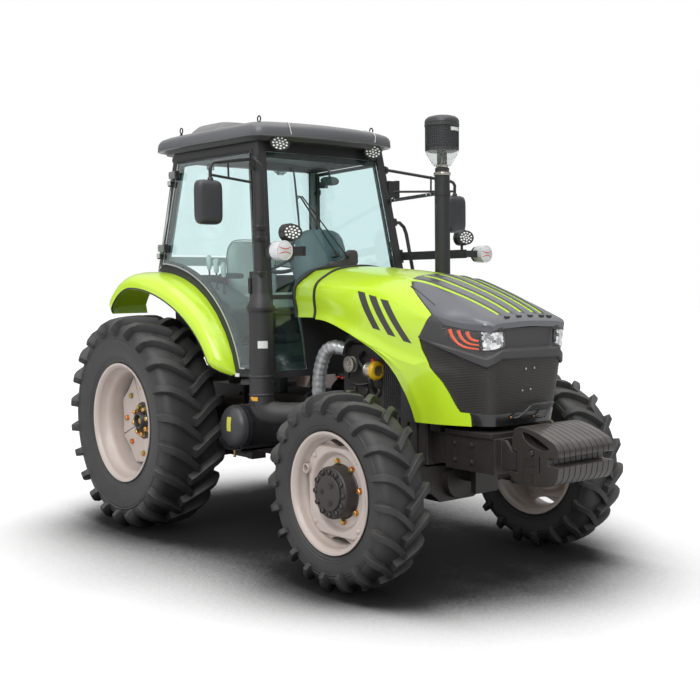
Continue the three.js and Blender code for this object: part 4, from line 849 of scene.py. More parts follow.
# Side stripes
# Three slanted parallelograms of dark grey vinyl film on each side of the bonnet, laid over the enamel.
stripe_film = finish("dark_grey_vinyl_film", "#3C3C38", 0.42)
for number in range(3):
    share = number / 2
    top = (1843 + 209 * share, 1612 - 46 * share)
    foot = (1990 + 262 * share, 1396 - 66 * share)
    outer = []
    for k in range(15):
        x, z = top[0] + (foot[0] - top[0]) * k / 14, top[1] + (foot[1] - top[1]) * k / 14
        outer.append([at(x + 66 * c / 5 - 33, -wall_half(x + 66 * c / 5 - 33, z - 11 * c / 5) - 1.2,
            z - 11 * c / 5) for c in range(6)])
    add_shell(outer, 2)
pair("side_stripes_right", stripe_film, "bonnet")

# Nose
# Injection-moulded dark plastic round the radiator: two cheeks that carry the lamps, a ridge like a chin
# along their foot, and a perforated grille below. All of it swings up with the bonnet.


# A place on the nose by distance round it: along the side to the corner at 2762, then across the front.
def nose_point(w, z, out=0.0):
    def raw(v):
        if v <= 2762:
            x, y = v, wall_half(v, z)
        else:
            half = wall_half(2762, z)
            y = half * (1 - (v - 2762) / 290)
            x = 2762 + 38 * (1 - (y / half) ** 8)
        lean = max(0, 1200 - z) * 0.1 * min(1, max(0, (x - 2500) / 100))
        return x - lean, y
    x, y = raw(w)
    before, after = raw(w - 6), raw(min(w + 6, 3052))
    run = (after[0] - before[0], after[1] - before[1])
    long = hypot(*run)
    return at(x - run[1] / long * out, -(y + run[0] / long * out), z)


def across_nose(rows):
    return [row + [Vector((p.x, -p.y, p.z)) for p in reversed(row[:-1])] for row in rows]


chin_path = ((2342, 1352), (2440, 1316), (2600, 1257), (2762, 1197), (2832, 1240), (3052, 1240))
lip_path = ((2342, 1352), (2440, 1478), (2540, 1456), (2640, 1436), (2762, 1420), (2832, 1412), (3052, 1408))
ridge_path = ((2342, 1353), (2440, 1330), (2600, 1293), (2762, 1250), (2832, 1291), (3052, 1291))
nose_stops = [2342 + 420 * i / 42 for i in range(42)] + [2762 + 290 * i / 34 for i in range(35)]
# Moulded polypropylene with a fine spark-eroded grain: warm dark grey, satin.
nose_plastic = weathered(finish("grained_polypropylene", "#3A393B", 0.46), "#403F41", "#343335", 400, 1.6,
    0.05, 0.42, 0.54, "#77726C")


def soft_step(value, low, high):
    t = min(1, max(0, (value - low) / (high - low)))
    return t * t * (3 - 2 * t)


def cheek_out(w, z):
    ridge, chin = along_path(ridge_path, w), along_path(chin_path, w)
    grown_in = soft_step(w, 2360, 2560)
    band = soft_step(z, chin - 2, chin + 10) * (1 - soft_step(z, ridge - 4, ridge + 8))
    badge = soft_step(w, 2858 + (1400 - z) * 0.12, 2880 + (1400 - z) * 0.12) * soft_step(z, ridge + 2,
        ridge + 12)
    return 13 * band * grown_in - 13 * badge


rows = []
for k in range(25):
    share = k / 24
    row = []
    for w in nose_stops:
        chin, ridge, lip = (along_path(p, w) for p in (chin_path, ridge_path, lip_path))
        # More rows fall on the ridge than on the cheek above it.
        z = chin + (ridge + 10 - chin) * share * 2 if share < 0.5 else \
            ridge + 10 + (max(lip, ridge + 11) - ridge - 10) * (share - 0.5) * 2
        row.append(nose_point(w, z, cheek_out(w, z)))
    rows.append(row)
add_shell(across_nose(rows), 5)
piece("nose_cheeks", nose_plastic, "bonnet", "nose_plastic", ["bonnet_nose"], sharp=28, bevel=0.8)

# Pressed steel mesh in black powder coat, all fine holes in staggered rows.
mesh_black = finish("perforated_black_steel", "#1E1C1C", 0.5)
tree, place = patterned(mesh_black)
parts = node(tree, "ShaderNodeSeparateXYZ", {}, {0: place})
# Holes at about 7 mm, drawn a little coarser than they are so that they show. They are painted near black, as
# painted shade seen through the openings.
rows_wave = node(tree, "ShaderNodeMath", {"operation": "MULTIPLY", 1: 2 * pi / 0.0085},
    {0: parts.outputs["Z"]})
rows_sine = node(tree, "ShaderNodeMath", {"operation": "SINE"}, {0: rows_wave.outputs[0]})
round_nose = node(tree, "ShaderNodeMath", {"operation": "ADD"}, {0: parts.outputs["X"], 1: parts.outputs["Y"]})
holes_wave = node(tree, "ShaderNodeMath", {"operation": "MULTIPLY", 1: 2 * pi / 0.0085},
    {0: round_nose.outputs[0]})
holes_sine = node(tree, "ShaderNodeMath", {"operation": "SINE"}, {0: holes_wave.outputs[0]})
both = node(tree, "ShaderNodeMath", {"operation": "MULTIPLY_ADD", 1: 0.45},
    {0: holes_sine.outputs[0], 2: rows_sine.outputs[0]})
hole_shade_mask = node(tree, "ShaderNodeMapRange", {"From Min": -0.5, "From Max": 0.5}, {"Value": both.outputs[0]})
tone = node(tree, "ShaderNodeMix", {"data_type": "RGBA", 6: colour("#131212"), 7: colour("#332F2D")},
    {0: hole_shade_mask.outputs[0]})
feed(tree, "Base Color", tone.outputs[2])
dents = node(tree, "ShaderNodeBump", {"Distance": 0.0007}, {"Height": hole_shade_mask.outputs[0]})
feed(tree, "Normal", dents.outputs[0])

mesh_foot = ((2356, 1290), (2420, 1200), (2500, 1122), (2560, 1014), (2592, 962), (2652, 954), (2762, 950),
    (3052, 950))
mesh_stops = [2356 + 406 * i / 44 for i in range(44)] + [2762 + 290 * i / 30 for i in range(31)]
rows = []
for k in range(21):
    row = []
    for w in mesh_stops:
        low, high = along_path(mesh_foot, w), along_path(chin_path, w) + 6
        z = low + (high - low) * k / 20
        row.append(nose_point(w, z, -6 + 3 * soft_step(z, high - 20, high)))
    rows.append(row)
add_shell(across_nose(rows), 4)
piece("nose_grille", mesh_black, "bonnet", "nose_plastic", sharp=28)

# Below the grille a smooth black band closes the nose.
gloss_black = weathered(finish("gloss_black_enamel", "#222222", 0.25, Coat_Weight=0.4), "#262626",
    "#1E1E1E", 300, 3.0, 0.01, 0.2, 0.3, "#55524E")
band_stops = [2640 + 122 * i / 12 for i in range(12)] + [2762 + 290 * i / 30 for i in range(31)]
rows = [[nose_point(w, z, out) for w in band_stops]
        for z, out in ((884, -5), (887, -3), (910, -3), (948, -3), (956, -5), (959, -9))]
add_shell(across_nose(rows), 5)
piece("nose_lower_band", gloss_black, "bonnet", "nose_plastic", sharp=28)

# Grille screws and the pull
# Four small pan-head screws hold a bracket behind the grille. A bent black rod is the pull that lifts the nose.
zinc_bright = finish("bright_zinc_plate", "#B9B4AC", 0.35, 0.9)
for y, z in ((-28, 1186), (38, 1187), (-44, 1069), (20, 1072)):
    spot = Vector((nose_point(3052, z, -3).x, y / 1000, z / 1000))
    add_turned([(0, 0), (6, 0), (6, 2), (4, 4), (0, 4.6)], spot, forward, 16)
piece("grille_screws", zinc_bright, "bonnet", sharp=40)


# A round bar or pipe: rings of one radius, or of a radius for each point, square to a smooth line.
def add_bar(line, radius, sides=12, closed=False):
    count = len(line)
    sizes = radius if isinstance(radius, list) else [radius] * count
    rings, across = [], None
    for i, spot in enumerate(line):
        if closed:
            way = (line[(i + 1) % count] - line[i - 1]).normalized()
        else:
            way = (line[min(i + 1, count - 1)] - line[max(i - 1, 0)]).normalized()
        across = way.orthogonal() if across is None else across - way * across.dot(way)
        across = across.normalized()
        other = way.cross(across)
        rings.append([shape.verts.new(spot + (across * cos(a) + other * sin(a)) * (sizes[i] / 1000))
            for a in round_angles(sides)])
    join_rings(rings, closed)


def through(points, steps=6):
    return [at(*p) for p in smooth_line(points, steps)]


add_bar(through([(2756, -118, 928), (2790, -110, 928), (2800, -96, 930), (2806, -54, 952), (2810, -8, 984),
    (2812, 6, 990), (2812, 160, 992), (2810, 168, 984), (2804, 118, 928), (2800, 104, 920), (2798, 78, 918),
    (2756, 66, 918)]), 6.5, 12)
piece("nose_pull", gloss_black, "bonnet", sharp=50)
for y, z in ((-118, 928), (66, 918)):
    add_bolt(at(2764, y, z), forward, 14, 8, 13)
piece("nose_pull_bolts", zinc_yellow, "bonnet", sharp=25)

# Cap
# A thick moulded lid over the front of the bonnet, sprayed dark metallic grey. Five raised ribs run along it
# with a lime stripe beside each.
# Metallic lacquer: fine aluminium flake under clear coat, so the top goes silvery where it sees the sky.
grey_metallic = finish("dark_grey_metallic_lacquer", "#5C5D62", 0.3, 0.6, Coat_Weight=0.5, Coat_Roughness=0.1)
tree, place = patterned(grey_metallic)
# Flake at about 1 mm, coarser than it is.
flake = node(tree, "ShaderNodeTexVoronoi", {"Scale": 900.0}, {"Vector": place})
flake_tone = node(tree, "ShaderNodeMix", {"data_type": "RGBA", 6: colour("#515257"), 7: colour("#66676D")},
    {0: flake.outputs["Distance"]})
feed(tree, "Base Color", flake_tone.outputs[2])


def cap_point(x, round_, lift=0.0):
    y, z = bonnet_skin(x, round_)
    # The edge stands out past the wall, and the front edge bows forward in the middle.
    out = 9 * (1 - soft_step(round_, 4.0, 5.0)) * soft_step(x, 2400, 2560)
    bow = 12 * (1 - (y / 330) ** 2) * soft_step(x, 2700, 2796)
    return x + bow, y + out, z + lift


cap_rounds = [4 + 3 * i / 36 for i in range(37)]
rows = []
for r in range(45):
    row = []
    for round_ in cap_rounds:
        start = ends.get(round_) or body_end(round_)
        x = start + 2 + (2794 - start - 2) * (r / 44) ** 0.9
        lift = 5 * soft_step(x, start, start + 12)
        row.append(cap_point(x, round_, lift))
    rows.append(row)
outer = both_halves(rows)
lower = [[p - Vector((0.006 * soft_step(p.x, 1.2, 1.65), 0, 0.030 if p.x > 1.0 else 0.018)) for p in row]
    for row in outer]
add_sheet(outer, lower)
piece("cap_lid", grey_metallic, "bonnet", "nose_plastic", sharp=24, bevel=3.5, turns=3)


# The cap's height at a place, from its own skin.
def cap_height(x, y):
    return cap_point(x, last_place(4.0, 7.0, lambda round_: cap_point(x, round_)[1] > abs(y)))[2] + 5


lime_film = finish("lime_green_vinyl_film", "#C2E63C", 0.35)
painted_shadow_line_black = finish("painted_shadow_black", "#19191A", 0.6)


def add_cap_lines(profile, offset, fades=False):
    for front_y, rear_y, rear_x in ((-146, -224, 2132), (-54, -117, 2132), (36, -4, 2140), (128, 108, 2150),
            (190, 206, 2176)):
        top, bottom = [], []
        for k in range(25):
            x = rear_x + (2762 - rear_x) * k / 24
            y = rear_y + (front_y - rear_y) * k / 24 + offset
            fade = min(1, k / 2, 24 - k) if fades else 1
            top.append([at(x, y + a, cap_height(x, y + a) + b * fade) for a, b in profile])
            bottom.append([at(x, y + a, cap_height(x, y + a) - 4) for a, b in profile])
        add_sheet(top, bottom)


add_cap_lines(((-14, 0), (-11.2, 9), (11.2, 9), (14, 0)), 0, fades=True)
piece("cap_ribs", grey_metallic, "bonnet", "nose_plastic", sharp=24, bevel=1.0)
add_cap_lines(((-10, 1.2), (10, 1.2)), -26)
piece("cap_stripes", lime_film, "bonnet")
# Beside each rib a near-black strip is a painted shadow.
add_cap_lines(((-4.5, 1.4), (4.5, 1.4)), 19)
piece("cap_rib_shadow_lines", painted_shadow_line_black, "bonnet")
# Near-black films at the ribs' ends are painted shade of the vents under them, and a long dark film by each
# shoulder, where the slot shows the hinge strap, is painted shade of that slot.
x = 2762
for y in (-146, -54, 36, 128, 190):
    outline = [[at(x + a, y + b, cap_height(x, y + b) + 7.6 - 0.1 * a) for b in (-15, 0, 15)]
        for a in (-3, 7, 15)]
    add_film(outline, 0, 0, -0.009)
for side in (-1, 1):
    rows = []
    for k in range(17):
        x = 2184 + 246 * k / 16
        y = 300 + 46 * k / 16
        rows.append([at(x, side * (y + b), cap_height(x, y + b) + 0.8) for b in (-3, 3)])
    add_film(rows, 0, 0, -0.003)
piece("cap_vent_and_slot_shade", tyre_rubber, "bonnet", sharp=30)

# Headlamps
# One moulded unit each side: a gloss black housing, three curved amber light guides in the outer half, a
# faceted bright reflector in the inner half, and a clear polycarbonate lens over both.
lamp_top = ((2512, 1424), (2600, 1412), (2700, 1402), (2762, 1397), (2800, 1396), (2872, 1395))
lamp_foot = ((2512, 1422), (2530, 1384), (2556, 1352), (2590, 1325), (2640, 1303), (2700, 1292),
    (2762, 1287), (2800, 1292), (2840, 1303), (2872, 1320))


def lamp_patch(first, last, columns, steps, depth_at, shrink=0.0):
    rows = []
    for k in range(steps + 1):
        row = []
        for i in range(columns + 1):
            w = first + (last - first) * i / columns
            low, high = along_path(lamp_foot, w) + shrink, along_path(lamp_top, w) - shrink
            high = max(high, low + 1)
            z = low + (high - low) * k / steps
            row.append(nose_point(w, z, depth_at(w, z)))
        rows.append(row)
    return rows


add_shell(lamp_patch(2512, 2872, 60, 8, lambda w, z: 1.5), 8)
pair("headlamp_housing_right", gloss_black, "bonnet", "black_plastic", ["headlamp_right"], sharp=28,
    bevel=1)

amber_guide = finish("amber_light_guide", "#E2562A", 0.3, Emission_Color=colour("#E8622A"),
    Emission_Strength=0.06, Coat_Weight=0.5)
guides = (((2566, 1404), (2574, 1376), (2590, 1348), (2616, 1324), (2656, 1308), (2726, 1300)),
    ((2618, 1398), (2624, 1372), (2640, 1348), (2664, 1332), (2690, 1325), (2728, 1321)),
    ((2668, 1392), (2673, 1372), (2684, 1356), (2700, 1348), (2728, 1343)))
for number, guide in enumerate(guides):
    line = smooth_line(guide, 5)
    rows = []
    for i, (w, z) in enumerate(line):
        a, b = line[max(i - 1, 0)], line[min(i + 1, len(line) - 1)]
        long = dist(a, b)
        side = ((a[1] - b[1]) / long, (b[0] - a[0]) / long)
        wide = 11 - 7 * (i / (len(line) - 1)) + 1.5 * (number == 2)
        rows.append([nose_point(w + side[0] * wide * s, z + side[1] * wide * s, 2 + 3.5 * (1 - s * s))
            for s in (-1, -0.5, 0, 0.5, 1)])
    add_shell(rows, 3)
pair("headlamp_amber_guides_right", amber_guide, "bonnet", "lamp_glass", sharp=40)

bright_reflector = finish("aluminised_reflector", "#C9CCCE", 0.12, 1.0)
tree, place = patterned(bright_reflector)
# Pillow facets about 19 mm wide, painted lighter and darker at random: painted reflections, as if each were
# tilted to a different part of the room.
pillow = node(tree, "ShaderNodeTexVoronoi", {"Scale": 1000 / 19}, {"Vector": place})
pillow_parts = node(tree, "ShaderNodeSeparateColor", {}, {0: pillow.outputs["Color"]})
painted_facet_reflections = node(tree, "ShaderNodeMix", {"data_type": "RGBA", 6: colour("#6E7376"), 7: colour("#F2F4F5")},
    {0: pillow_parts.outputs[0]})
feed(tree, "Base Color", painted_facet_reflections.outputs[2])
facets = lamp_patch(2744, 2850, 12, 9, lambda w, z: 0, 8)
rows = []
for r, row in enumerate(facets):
    rows.append([p + Vector((0.0022 * sin(7 * r + 3 * c) + 0.004, -0.0022 * cos(5 * c + 4 * r) - 0.002, 0))
        for c, p in enumerate(row)])
add_shell(rows, 4)
pair("headlamp_reflector_right", bright_reflector, "bonnet", "lamp_glass", sharp=4)

# Clear polycarbonate: smooth, a little hazy at its rim.
clear_lens = finish("clear_polycarbonate_lens", "#FFFFFF", 0.03, Transmission_Weight=1.0, IOR=1.2)
add_shell(lamp_patch(2516, 2868, 48, 8, lambda w, z: 8 - 5 * soft_step(w, 2840, 2868), 3), 2)
pair("headlamp_lens_right", clear_lens, "bonnet", "lamp_glass", sharp=28)

# Cab frame
# Welded steel tube and pressed rails in black powder coat. The rear pillars are lined in pale grey, which is
# what shows through the doors' glass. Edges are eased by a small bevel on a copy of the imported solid.
powder_black = weathered(finish("black_powder_coat", "#232325", 0.4), "#29292C", "#1E1E20", 350, 1.8, 0.04,
    0.36, 0.5, "#5A5854")


def eased(node_name, materials, width, slot="black_paint", sharp=30, choose=None):
    source = frame["nodes"][node_name]
    shape.from_mesh(source.data)
    bmesh.ops.remove_doubles(shape, verts=shape.verts, dist=1e-5)
    bmesh.ops.dissolve_limit(shape, angle_limit=radians(1.0), verts=shape.verts, edges=shape.edges)
    if choose:
        for face in shape.faces:
            face.material_index = choose(face)
    made = piece(node_name + "_body", materials, source["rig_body"], slot, [node_name], sharp, width)
    made.modifiers["rounded_edges"].use_clamp_overlap = True
    return made


def coat(material, *node_names):
    for node_name in node_names:
        for held in frame["nodes"][node_name].material_slots:
            held.material = material


def front_edge(z):
    return 1000 + (2560 - z) * 0.172


def rear_edge(z):
    return (z - 1870) * 0.145


def cab_half(x, z):
    return 856 - 0.0914 * x - 0.0972 * z


def on_wall(x, z, out=0.0, side=-1):
    return at(x, side * (cab_half(x, z) + out), z)


pillar_lining = finish("pale_grey_lining", "#A9B3AE", 0.55)


def rear_pillar_face(face):
    middle = face.calc_center_median()
    x, z = (middle.x - rear_axle_x) * 1000, middle.z * 1000
    if z < 1870 and x < 70 and z > 1790 and abs(middle.y) < 0.62:
        return 1
    return 1 if z > 1790 and x < rear_edge(z) + 70 and abs(middle.y) > 0.3 and face.normal.x > -0.7 else 0


eased("cab_frame", [powder_black, pillar_lining], 3.0, choose=rear_pillar_face)

# Glass
# Green-tinted tempered panes. Light passes them to the cab with no loss, so that the inside is lit.
tinted_glass = finish("green_tinted_tempered_glass", "#E6F5F5", 0.0, Transmission_Weight=1.0, IOR=1.45)
tree = tinted_glass.node_tree
shader = tree.nodes["Principled BSDF"]
passing = node(tree, "ShaderNodeBsdfTransparent", {"Color": colour("#E4F2F0")})
light_path = node(tree, "ShaderNodeLightPath")
either = node(tree, "ShaderNodeMixShader", {}, {0: light_path.outputs["Is Shadow Ray"],
    1: shader.outputs[0], 2: passing.outputs[0]})
tree.links.new(either.outputs[0], tree.nodes["Material Output"].inputs["Surface"])
coat(tinted_glass, "windscreen", "quarter_glass_right", "quarter_glass_left")


def arc_angle(radius, z):
    return asin((z - 755) / radius)


def pillar_angle(radius, shift):
    z = 1870.0
    for _ in range(30):
        across = rear_edge(z) + shift + 10
        z = 755 + sqrt(radius * radius - across * across)
    return asin((z - 755) / radius)


def opening(inset):
    bottom, top = 1122 + inset, 2500 - inset
    radius, shift = 1050 + inset, 60 + inset
    low, high = arc_angle(radius, bottom), pillar_angle(radius, shift)
    arc_top = 755 + radius * sin(high)
    corners = [(front_edge(bottom) - 70 - inset, bottom), (front_edge(top) - 70 - inset, top),
        (rear_edge(top) + shift, top), (rear_edge(arc_top) + shift, arc_top)]
    line = []
    for (x0, z0), (x1, z1) in zip(corners, corners[1:]):
        line += [(x0 + (x1 - x0) * i / 8, z0 + (z1 - z0) * i / 8) for i in range(8)]
    line += [(-10 + radius * cos(a), 755 + radius * sin(a)) for a in (high + (low - high) * i / 24
        for i in range(24))]
    end = (-10 + radius * cos(low), bottom)
    line += [(end[0] + (corners[0][0] - end[0]) * i / 4, bottom) for i in range(4)]
    return line


def add_wall_ring(outer, inner, out0, out1):
    top, bottom = ([[on_wall(x, z, out) for x, z in line] for line in (outer, inner)] for out in (out1, out0))
    add_sheet(top, bottom, wrap=True)


# Doors
# One big pane each, bonded over a slim black frame, with a bright edge strip at the back and two stout hinge
# blocks of die-cast zinc in grey lacquer.
add_loft([[on_wall(x, z, out) for x, z in opening(6)] for out in (6.0, 1.0)])
pair("door_pane_right", tinted_glass, "door_right", "tinted_glass", ["door_glass_right"], sharp=20)
gasket_rubber = finish("extruded_gasket_rubber", "#232325", 0.6)
add_wall_ring(opening(8), opening(30), -26.0, 0.6)
add_wall_ring(opening(4), opening(9), -4.0, 7.5)
pair("door_rail_right", gasket_rubber, "door_right", "black_paint", ["door_frame_right"], sharp=25, bevel=1)
bright_edge = finish("bright_anodised_aluminium", "#C4C6C6", 0.3, 0.9)
add_sheet(*([[on_wall(x, z, out) for x, z in opening(inset)[16:50]] for inset in (5, 15)]
    for out in (8.4, 6.2)))
pair("door_edge_strip_right", bright_edge, "door_right", sharp=25)
# A second seal lies on the frame round the door.
add_wall_ring(opening(-16), opening(-5), -6.0, 5.0)
pair("door_seal_right", gasket_rubber, sharp=25, bevel=2)


# A box between two opposite corners, in the tractor's millimetres. Its piece rounds its edges.
def add_block(low, high):
    corners = bmesh.ops.create_cube(shape, size=1.0)["verts"]
    for v in corners:
        v.co = at(*((a + b) / 2 + (b - a) * c for a, b, c in zip(low, high, v.co)))
    return corners


zinc_lacquer = finish("grey_lacquered_die_casting", "#8E9090", 0.38, 0.6, Coat_Weight=0.3)
hinges = [(rear_edge(z) + 42, -(cab_half(rear_edge(z) + 42, z) + 22), z) for z in (1905, 2400)]
for x, y, z in hinges:
    add_block((x + 4, y - 26, z - 12), (x + 80, y + 4, z + 36))
    add_block((x + 8, y - 30, z + 4), (x + 70, y - 25, z + 26))
pair("door_hinge_block_right", zinc_lacquer, "door_right", sharp=30, bevel=4, turns=3)
for x, y, z in hinges:
    add_block((x + 72, y - 24, z - 15), (x + 92, y + 12, z + 39))
pair("door_hinge_cap_right", powder_black, "door_right", "black_paint", sharp=30, bevel=5, turns=3)
for x, y, z in hinges:
    add_block((x - 28, y - 15, z - 62), (x + 12, y + 50, z - 26))
pair("door_hinge_bracket_right", powder_black, "root", "black_paint", sharp=30, bevel=3)
# The outside handle: a black paddle in a shallow cup on the door's front edge.
for k, (z0, z1, out) in enumerate(((1560, 1740, 22), (1600, 1700, 38))):
    add_block((front_edge(1650) - 124 + 8 * k, -(cab_half(1060, 1650) + out), z0),
        (front_edge(1650) - 84 - 6 * k, -(cab_half(1060, 1650) - 4), z1))
pair("door_handle_right", powder_black, "door_right", "black_plastic", sharp=30, bevel=7, turns=3)

# Rear window
# One tinted pane hung from the rear rail.
coat(tinted_glass, "rear_window")

# Roof
# A moulded grey cap with a drooped lip, over a recessed black skirt, and a raised housing behind. Where the
# front panel meets the sides, a pale line along the seam is a painted highlight. Four forged eyes lift the cab.
roof_grey = weathered(finish("satin_grey_roof_moulding", "#55565A", 0.4, Coat_Weight=0.3), "#5B5C60",
    "#4D4E52", 500, 2.0, 0.03, 0.36, 0.48, "#A09C96")
roof_corners = [(1130, 0), (1108, -300), (1040, -520), (960, -572), (40, -640), (-80, -590), (-108, -300),
    (-112, 0), (-108, 300), (-80, 590), (40, 640), (960, 572), (1040, 520), (1108, 300)]


# Corner cutting: each corner becomes two points, a few times over, so the outline keeps short round corners.
def eased_loop(points, share, times):
    for _ in range(times):
        cut = []
        for p, q in zip(points, points[1:] + points[:1]):
            cut.append(tuple(a + (b - a) * share for a, b in zip(p, q)))
            cut.append(tuple(b + (a - b) * share for a, b in zip(p, q)))
        points = cut
    return points


roof_outline = eased_loop(roof_corners, 0.16, 2)


def roof_ring(grow, z, droop=0.0):
    return [at(510 + (x - 510) * grow, y * grow, z - droop * (abs(x - 510) / 620) ** 2)
        for x, y in roof_outline]


add_loft([roof_ring(1.0, 2592), roof_ring(1.03, 2588, 4), roof_ring(1.043, 2592, 4),
    roof_ring(1.046, 2600, 4), roof_ring(1.04, 2640, 3), roof_ring(1.028, 2656, 3),
    roof_ring(1.008, 2668, 3), roof_ring(0.96, 2680, 2), roof_ring(0.88, 2692, 1), roof_ring(0.7, 2702),
    roof_ring(0.4, 2706), roof_ring(0.1, 2707)])
hump = eased_loop([(-85, -440), (140, -430), (350, -400), (350, 400), (140, 430), (-85, 440)], 0.2, 2)
add_loft([[at(150 + (x - 150) * g, y * g, z) for x, y in hump]
    for g, z in ((1.0, 2686), (0.9, 2742), (0.8, 2780), (0.74, 2791), (0.6, 2795), (0.2, 2796))])
piece("roof_cap", roof_grey, "root", "roof_grey", ["cab_roof"], sharp=40)
add_loft([roof_ring(0.945, 2560.5), roof_ring(0.965, 2564), roof_ring(0.985, 2590), roof_ring(1.01, 2594)])
piece("roof_skirt", powder_black, "root", "black_plastic", sharp=35)
painted_highlight_line = finish("pale_painted_highlight", "#D9D9D6", 0.5)
# A pale line along each seam is a painted highlight.
for side in (-1, 1):
    line = [at(510 + (1096 - 510) * g, side * (352 - 26 * (2700 - z) / 110) * g,
        z) + Vector((0.003, side * 0.001, 0.001)) for g, z in ((1.047, 2600), (1.041, 2640), (1.029, 2656),
        (1.008, 2669), (0.96, 2681), (0.9, 2690))]
    add_bar(line, 2.6, 6)
piece("roof_seam_highlights", painted_highlight_line, sharp=50)
black_oxide = finish("black_oxide_steel", "#2D2C30", 0.35, 0.7)
for x, z in ((945, 2684), (110, 2700)):
    for side in (-1, 1):
        y = side * (466 if x > 500 else 545)
        add_turned([(0, -16), (15, -16), (15, -2), (8, 2), (8, 14), (0, 14)], at(x, y, z - 4), up, 16)
        centre = at(x, y, z + 26)
        ring = [centre + Vector((cos(a), 0, sin(a) * 1.1)) * 0.017 for a in round_angles(20)]
        add_bar(ring, 4.5, 8, closed=True)
piece("roof_lifting_eyes", black_oxide, "root", "black_paint", sharp=50)

# Work lamps
# Oval LED lamps in black die-cast cups on small steel feet. Each face is a grey board of bright lenses.
led_board = finish("grey_led_board", "#4A4D50", 0.4)
led_lens = finish("moulded_led_lens", "#F8F8F6", 0.12, Coat_Weight=1.0, Emission_Color=colour("#FFFFFF"),
    Emission_Strength=0.12)
lamp_radius = 56


def work_lamp(name, centre, face):
    middle, way = at(*centre), Vector(face).normalized()
    across = way.orthogonal().normalized()
    other = way.cross(across)

    def keep(part, material, slot, sharp):
        for v in shape.verts:
            v.co.y = middle.y + (v.co.y - middle.y) * 1.24
            v.co.z = middle.z + (v.co.z - middle.z) * 0.84
        piece(name + part, material, "root", slot, sharp=sharp)

    add_turned([(0, -34), (lamp_radius * 0.55, -33), (lamp_radius * 0.9, -18), (lamp_radius, -4),
        (lamp_radius, 7), (lamp_radius - 3, 9), (lamp_radius - 6, 7), (lamp_radius - 7, 2), (0, 2)], middle,
        way, 40)
    for k in range(9):
        fin = middle - way * 0.024 + across * (0.004 * (k - 4) * 2)
        add_bar([fin - way * 0.012, fin + way * 0.004], 1.6, 6)
    keep("_cup", powder_black, "black_plastic", 40)
    add_disc(lamp_radius - 8, 3, 4.5, middle, way, 36)
    keep("_board", led_board, "lamp_glass", 40)
    for count, spread in ((1, 0), (6, 0.36), (11, 0.7)):
        for a in round_angles(count):
            spot = middle + (across * cos(a) + other * sin(a)) * (lamp_radius * spread / 1000)
            add_turned([(7.2, 3), (6.8, 6), (4.4, 9), (0, 10)], spot, way, 12)
    keep("_lenses", led_lens, "lamp_glass", 60)


for side, hand in ((-1, "right"), (1, "left")):
    work_lamp("roof_front_lamp_" + hand, (1056, side * 385, 2550), (1, -0.25, -0.1))
    work_lamp("roof_rear_lamp_" + hand, (-98, side * 430, 2548), (-1, 0, -0.12))
for x, y in ((1036, 385), (-78, 430)):
    for side in (-1, 1):
        for lug in (-18, 18):
            add_block((x - 9, side * y + lug - 3, 2560), (x + 9, side * y + lug + 3, 2606))
piece("roof_lamp_feet", powder_black, "root", "black_paint", sharp=30, bevel=1)

# Windscreen wiper
# Pantograph arms of black spring steel from a motor cover low on the glass, with a rubber blade.


def on_screen(y, z, out):
    return at(front_edge(z) - 18 + out, y, z)


add_bar([on_screen(-260, 2424, 16), on_screen(-262, 2330, 20), on_screen(-266, 2100, 20),
    on_screen(-269, 1966, 16)], [3.5, 6, 6, 3.5], 8)
add_bar([on_screen(-258, 2412, 10), on_screen(-267, 1975, 10)], 3, 6)
add_bar([on_screen(-262, 2222, 24), on_screen(-246, 2219, 36), on_screen(2, 1836, 42)], 5.5, 8)
add_bar([on_screen(-262, 2206, 24), on_screen(-232, 2222, 36), on_screen(84, 1830, 42)], 4.5, 8)
add_bar([on_screen(-20, 1872, 40), on_screen(-2, 1842, 44)], 9, 10)
for y, z in ((2, 1836), (84, 1830)):
    add_turned([(0, -20), (11, -20), (11, 38), (8, 44), (0, 44)], on_screen(y, z, 8), (1, 0, 0.17), 16)
piece("wiper_arms", powder_black, "root", "black_plastic", sharp=50)
add_loft([[at(x + lift, y, z) for y, z in eased_loop(
    [(-60 + inset, 1770), (-60 + inset, 1800), (60, 1812), (100, 1882 - inset), (168 - inset, 1882 - inset),
     (184 - inset, 1860), (184 - inset, 1770)], 0.2, 2)]
    for x, lift, inset in ((1112, 0, 0), (1130, 0, 0), (1136, 0, 4), (1139, 0, 10))])
piece("wiper_motor_cover", nose_plastic, "root", "black_plastic", sharp=40)
# A dark printed band runs along the screen's head.
screen_band = finish("fired_black_enamel_on_glass", "#1D2A28", 0.2)
outer = [[on_screen(y * (cab_half(front_edge(z), z) - 66), z, 0.8) for y in [k / 6 - 1 for k in range(13)]]
    for z in (2498, 2480, 2462)]
add_film(outer, -0.0008, 0, 0)
piece("windscreen_band", screen_band, sharp=40)

# Cowl and bonnet seals
# The cowl is a fixed band of the bonnet's own green enamel. Two black rubber beads close it: one against the
# cab, one against the bonnet's rear edge.
eased("cowl", [green_enamel], 1.0, "green_paint")


def around_bonnet(x, first, lift):
    line = []
    for i in range(61):
        round_ = first + (7 - first) * i / 60
        y, z = bonnet_skin(x, round_)
        ny, nz = bonnet_skin(x, min(round_ + 0.05, 7))
        ly, lz = bonnet_skin(x, round_ - 0.05)
        run = hypot(ny - ly, nz - lz) or 1
        out_y, out_z = (nz - lz) / run, -(ny - ly) / run
        line.append((x, y + out_y * lift, z + out_z * lift))
    return both_halves([line])[0]


add_bar(around_bonnet(1393, 1.15, 3.5), 8.5, 8)
piece("bonnet_rear_seal", gasket_rubber, sharp=50)
line = []
for p in around_bonnet(1200, 1.15, 4):
    z = p.z * 1000
    line.append(at(front_edge(z) + 6, p.y * 1000, z))
add_bar(line, 12, 8)
piece("cab_cowl_seal", gasket_rubber, sharp=50)

# Mirrors
# Two bent steel tubes and a strut carry a rounded moulded head on each front pillar, silvered at the back.
mirror_x, mirror_y, mirror_z = 1215, -1012, 2142


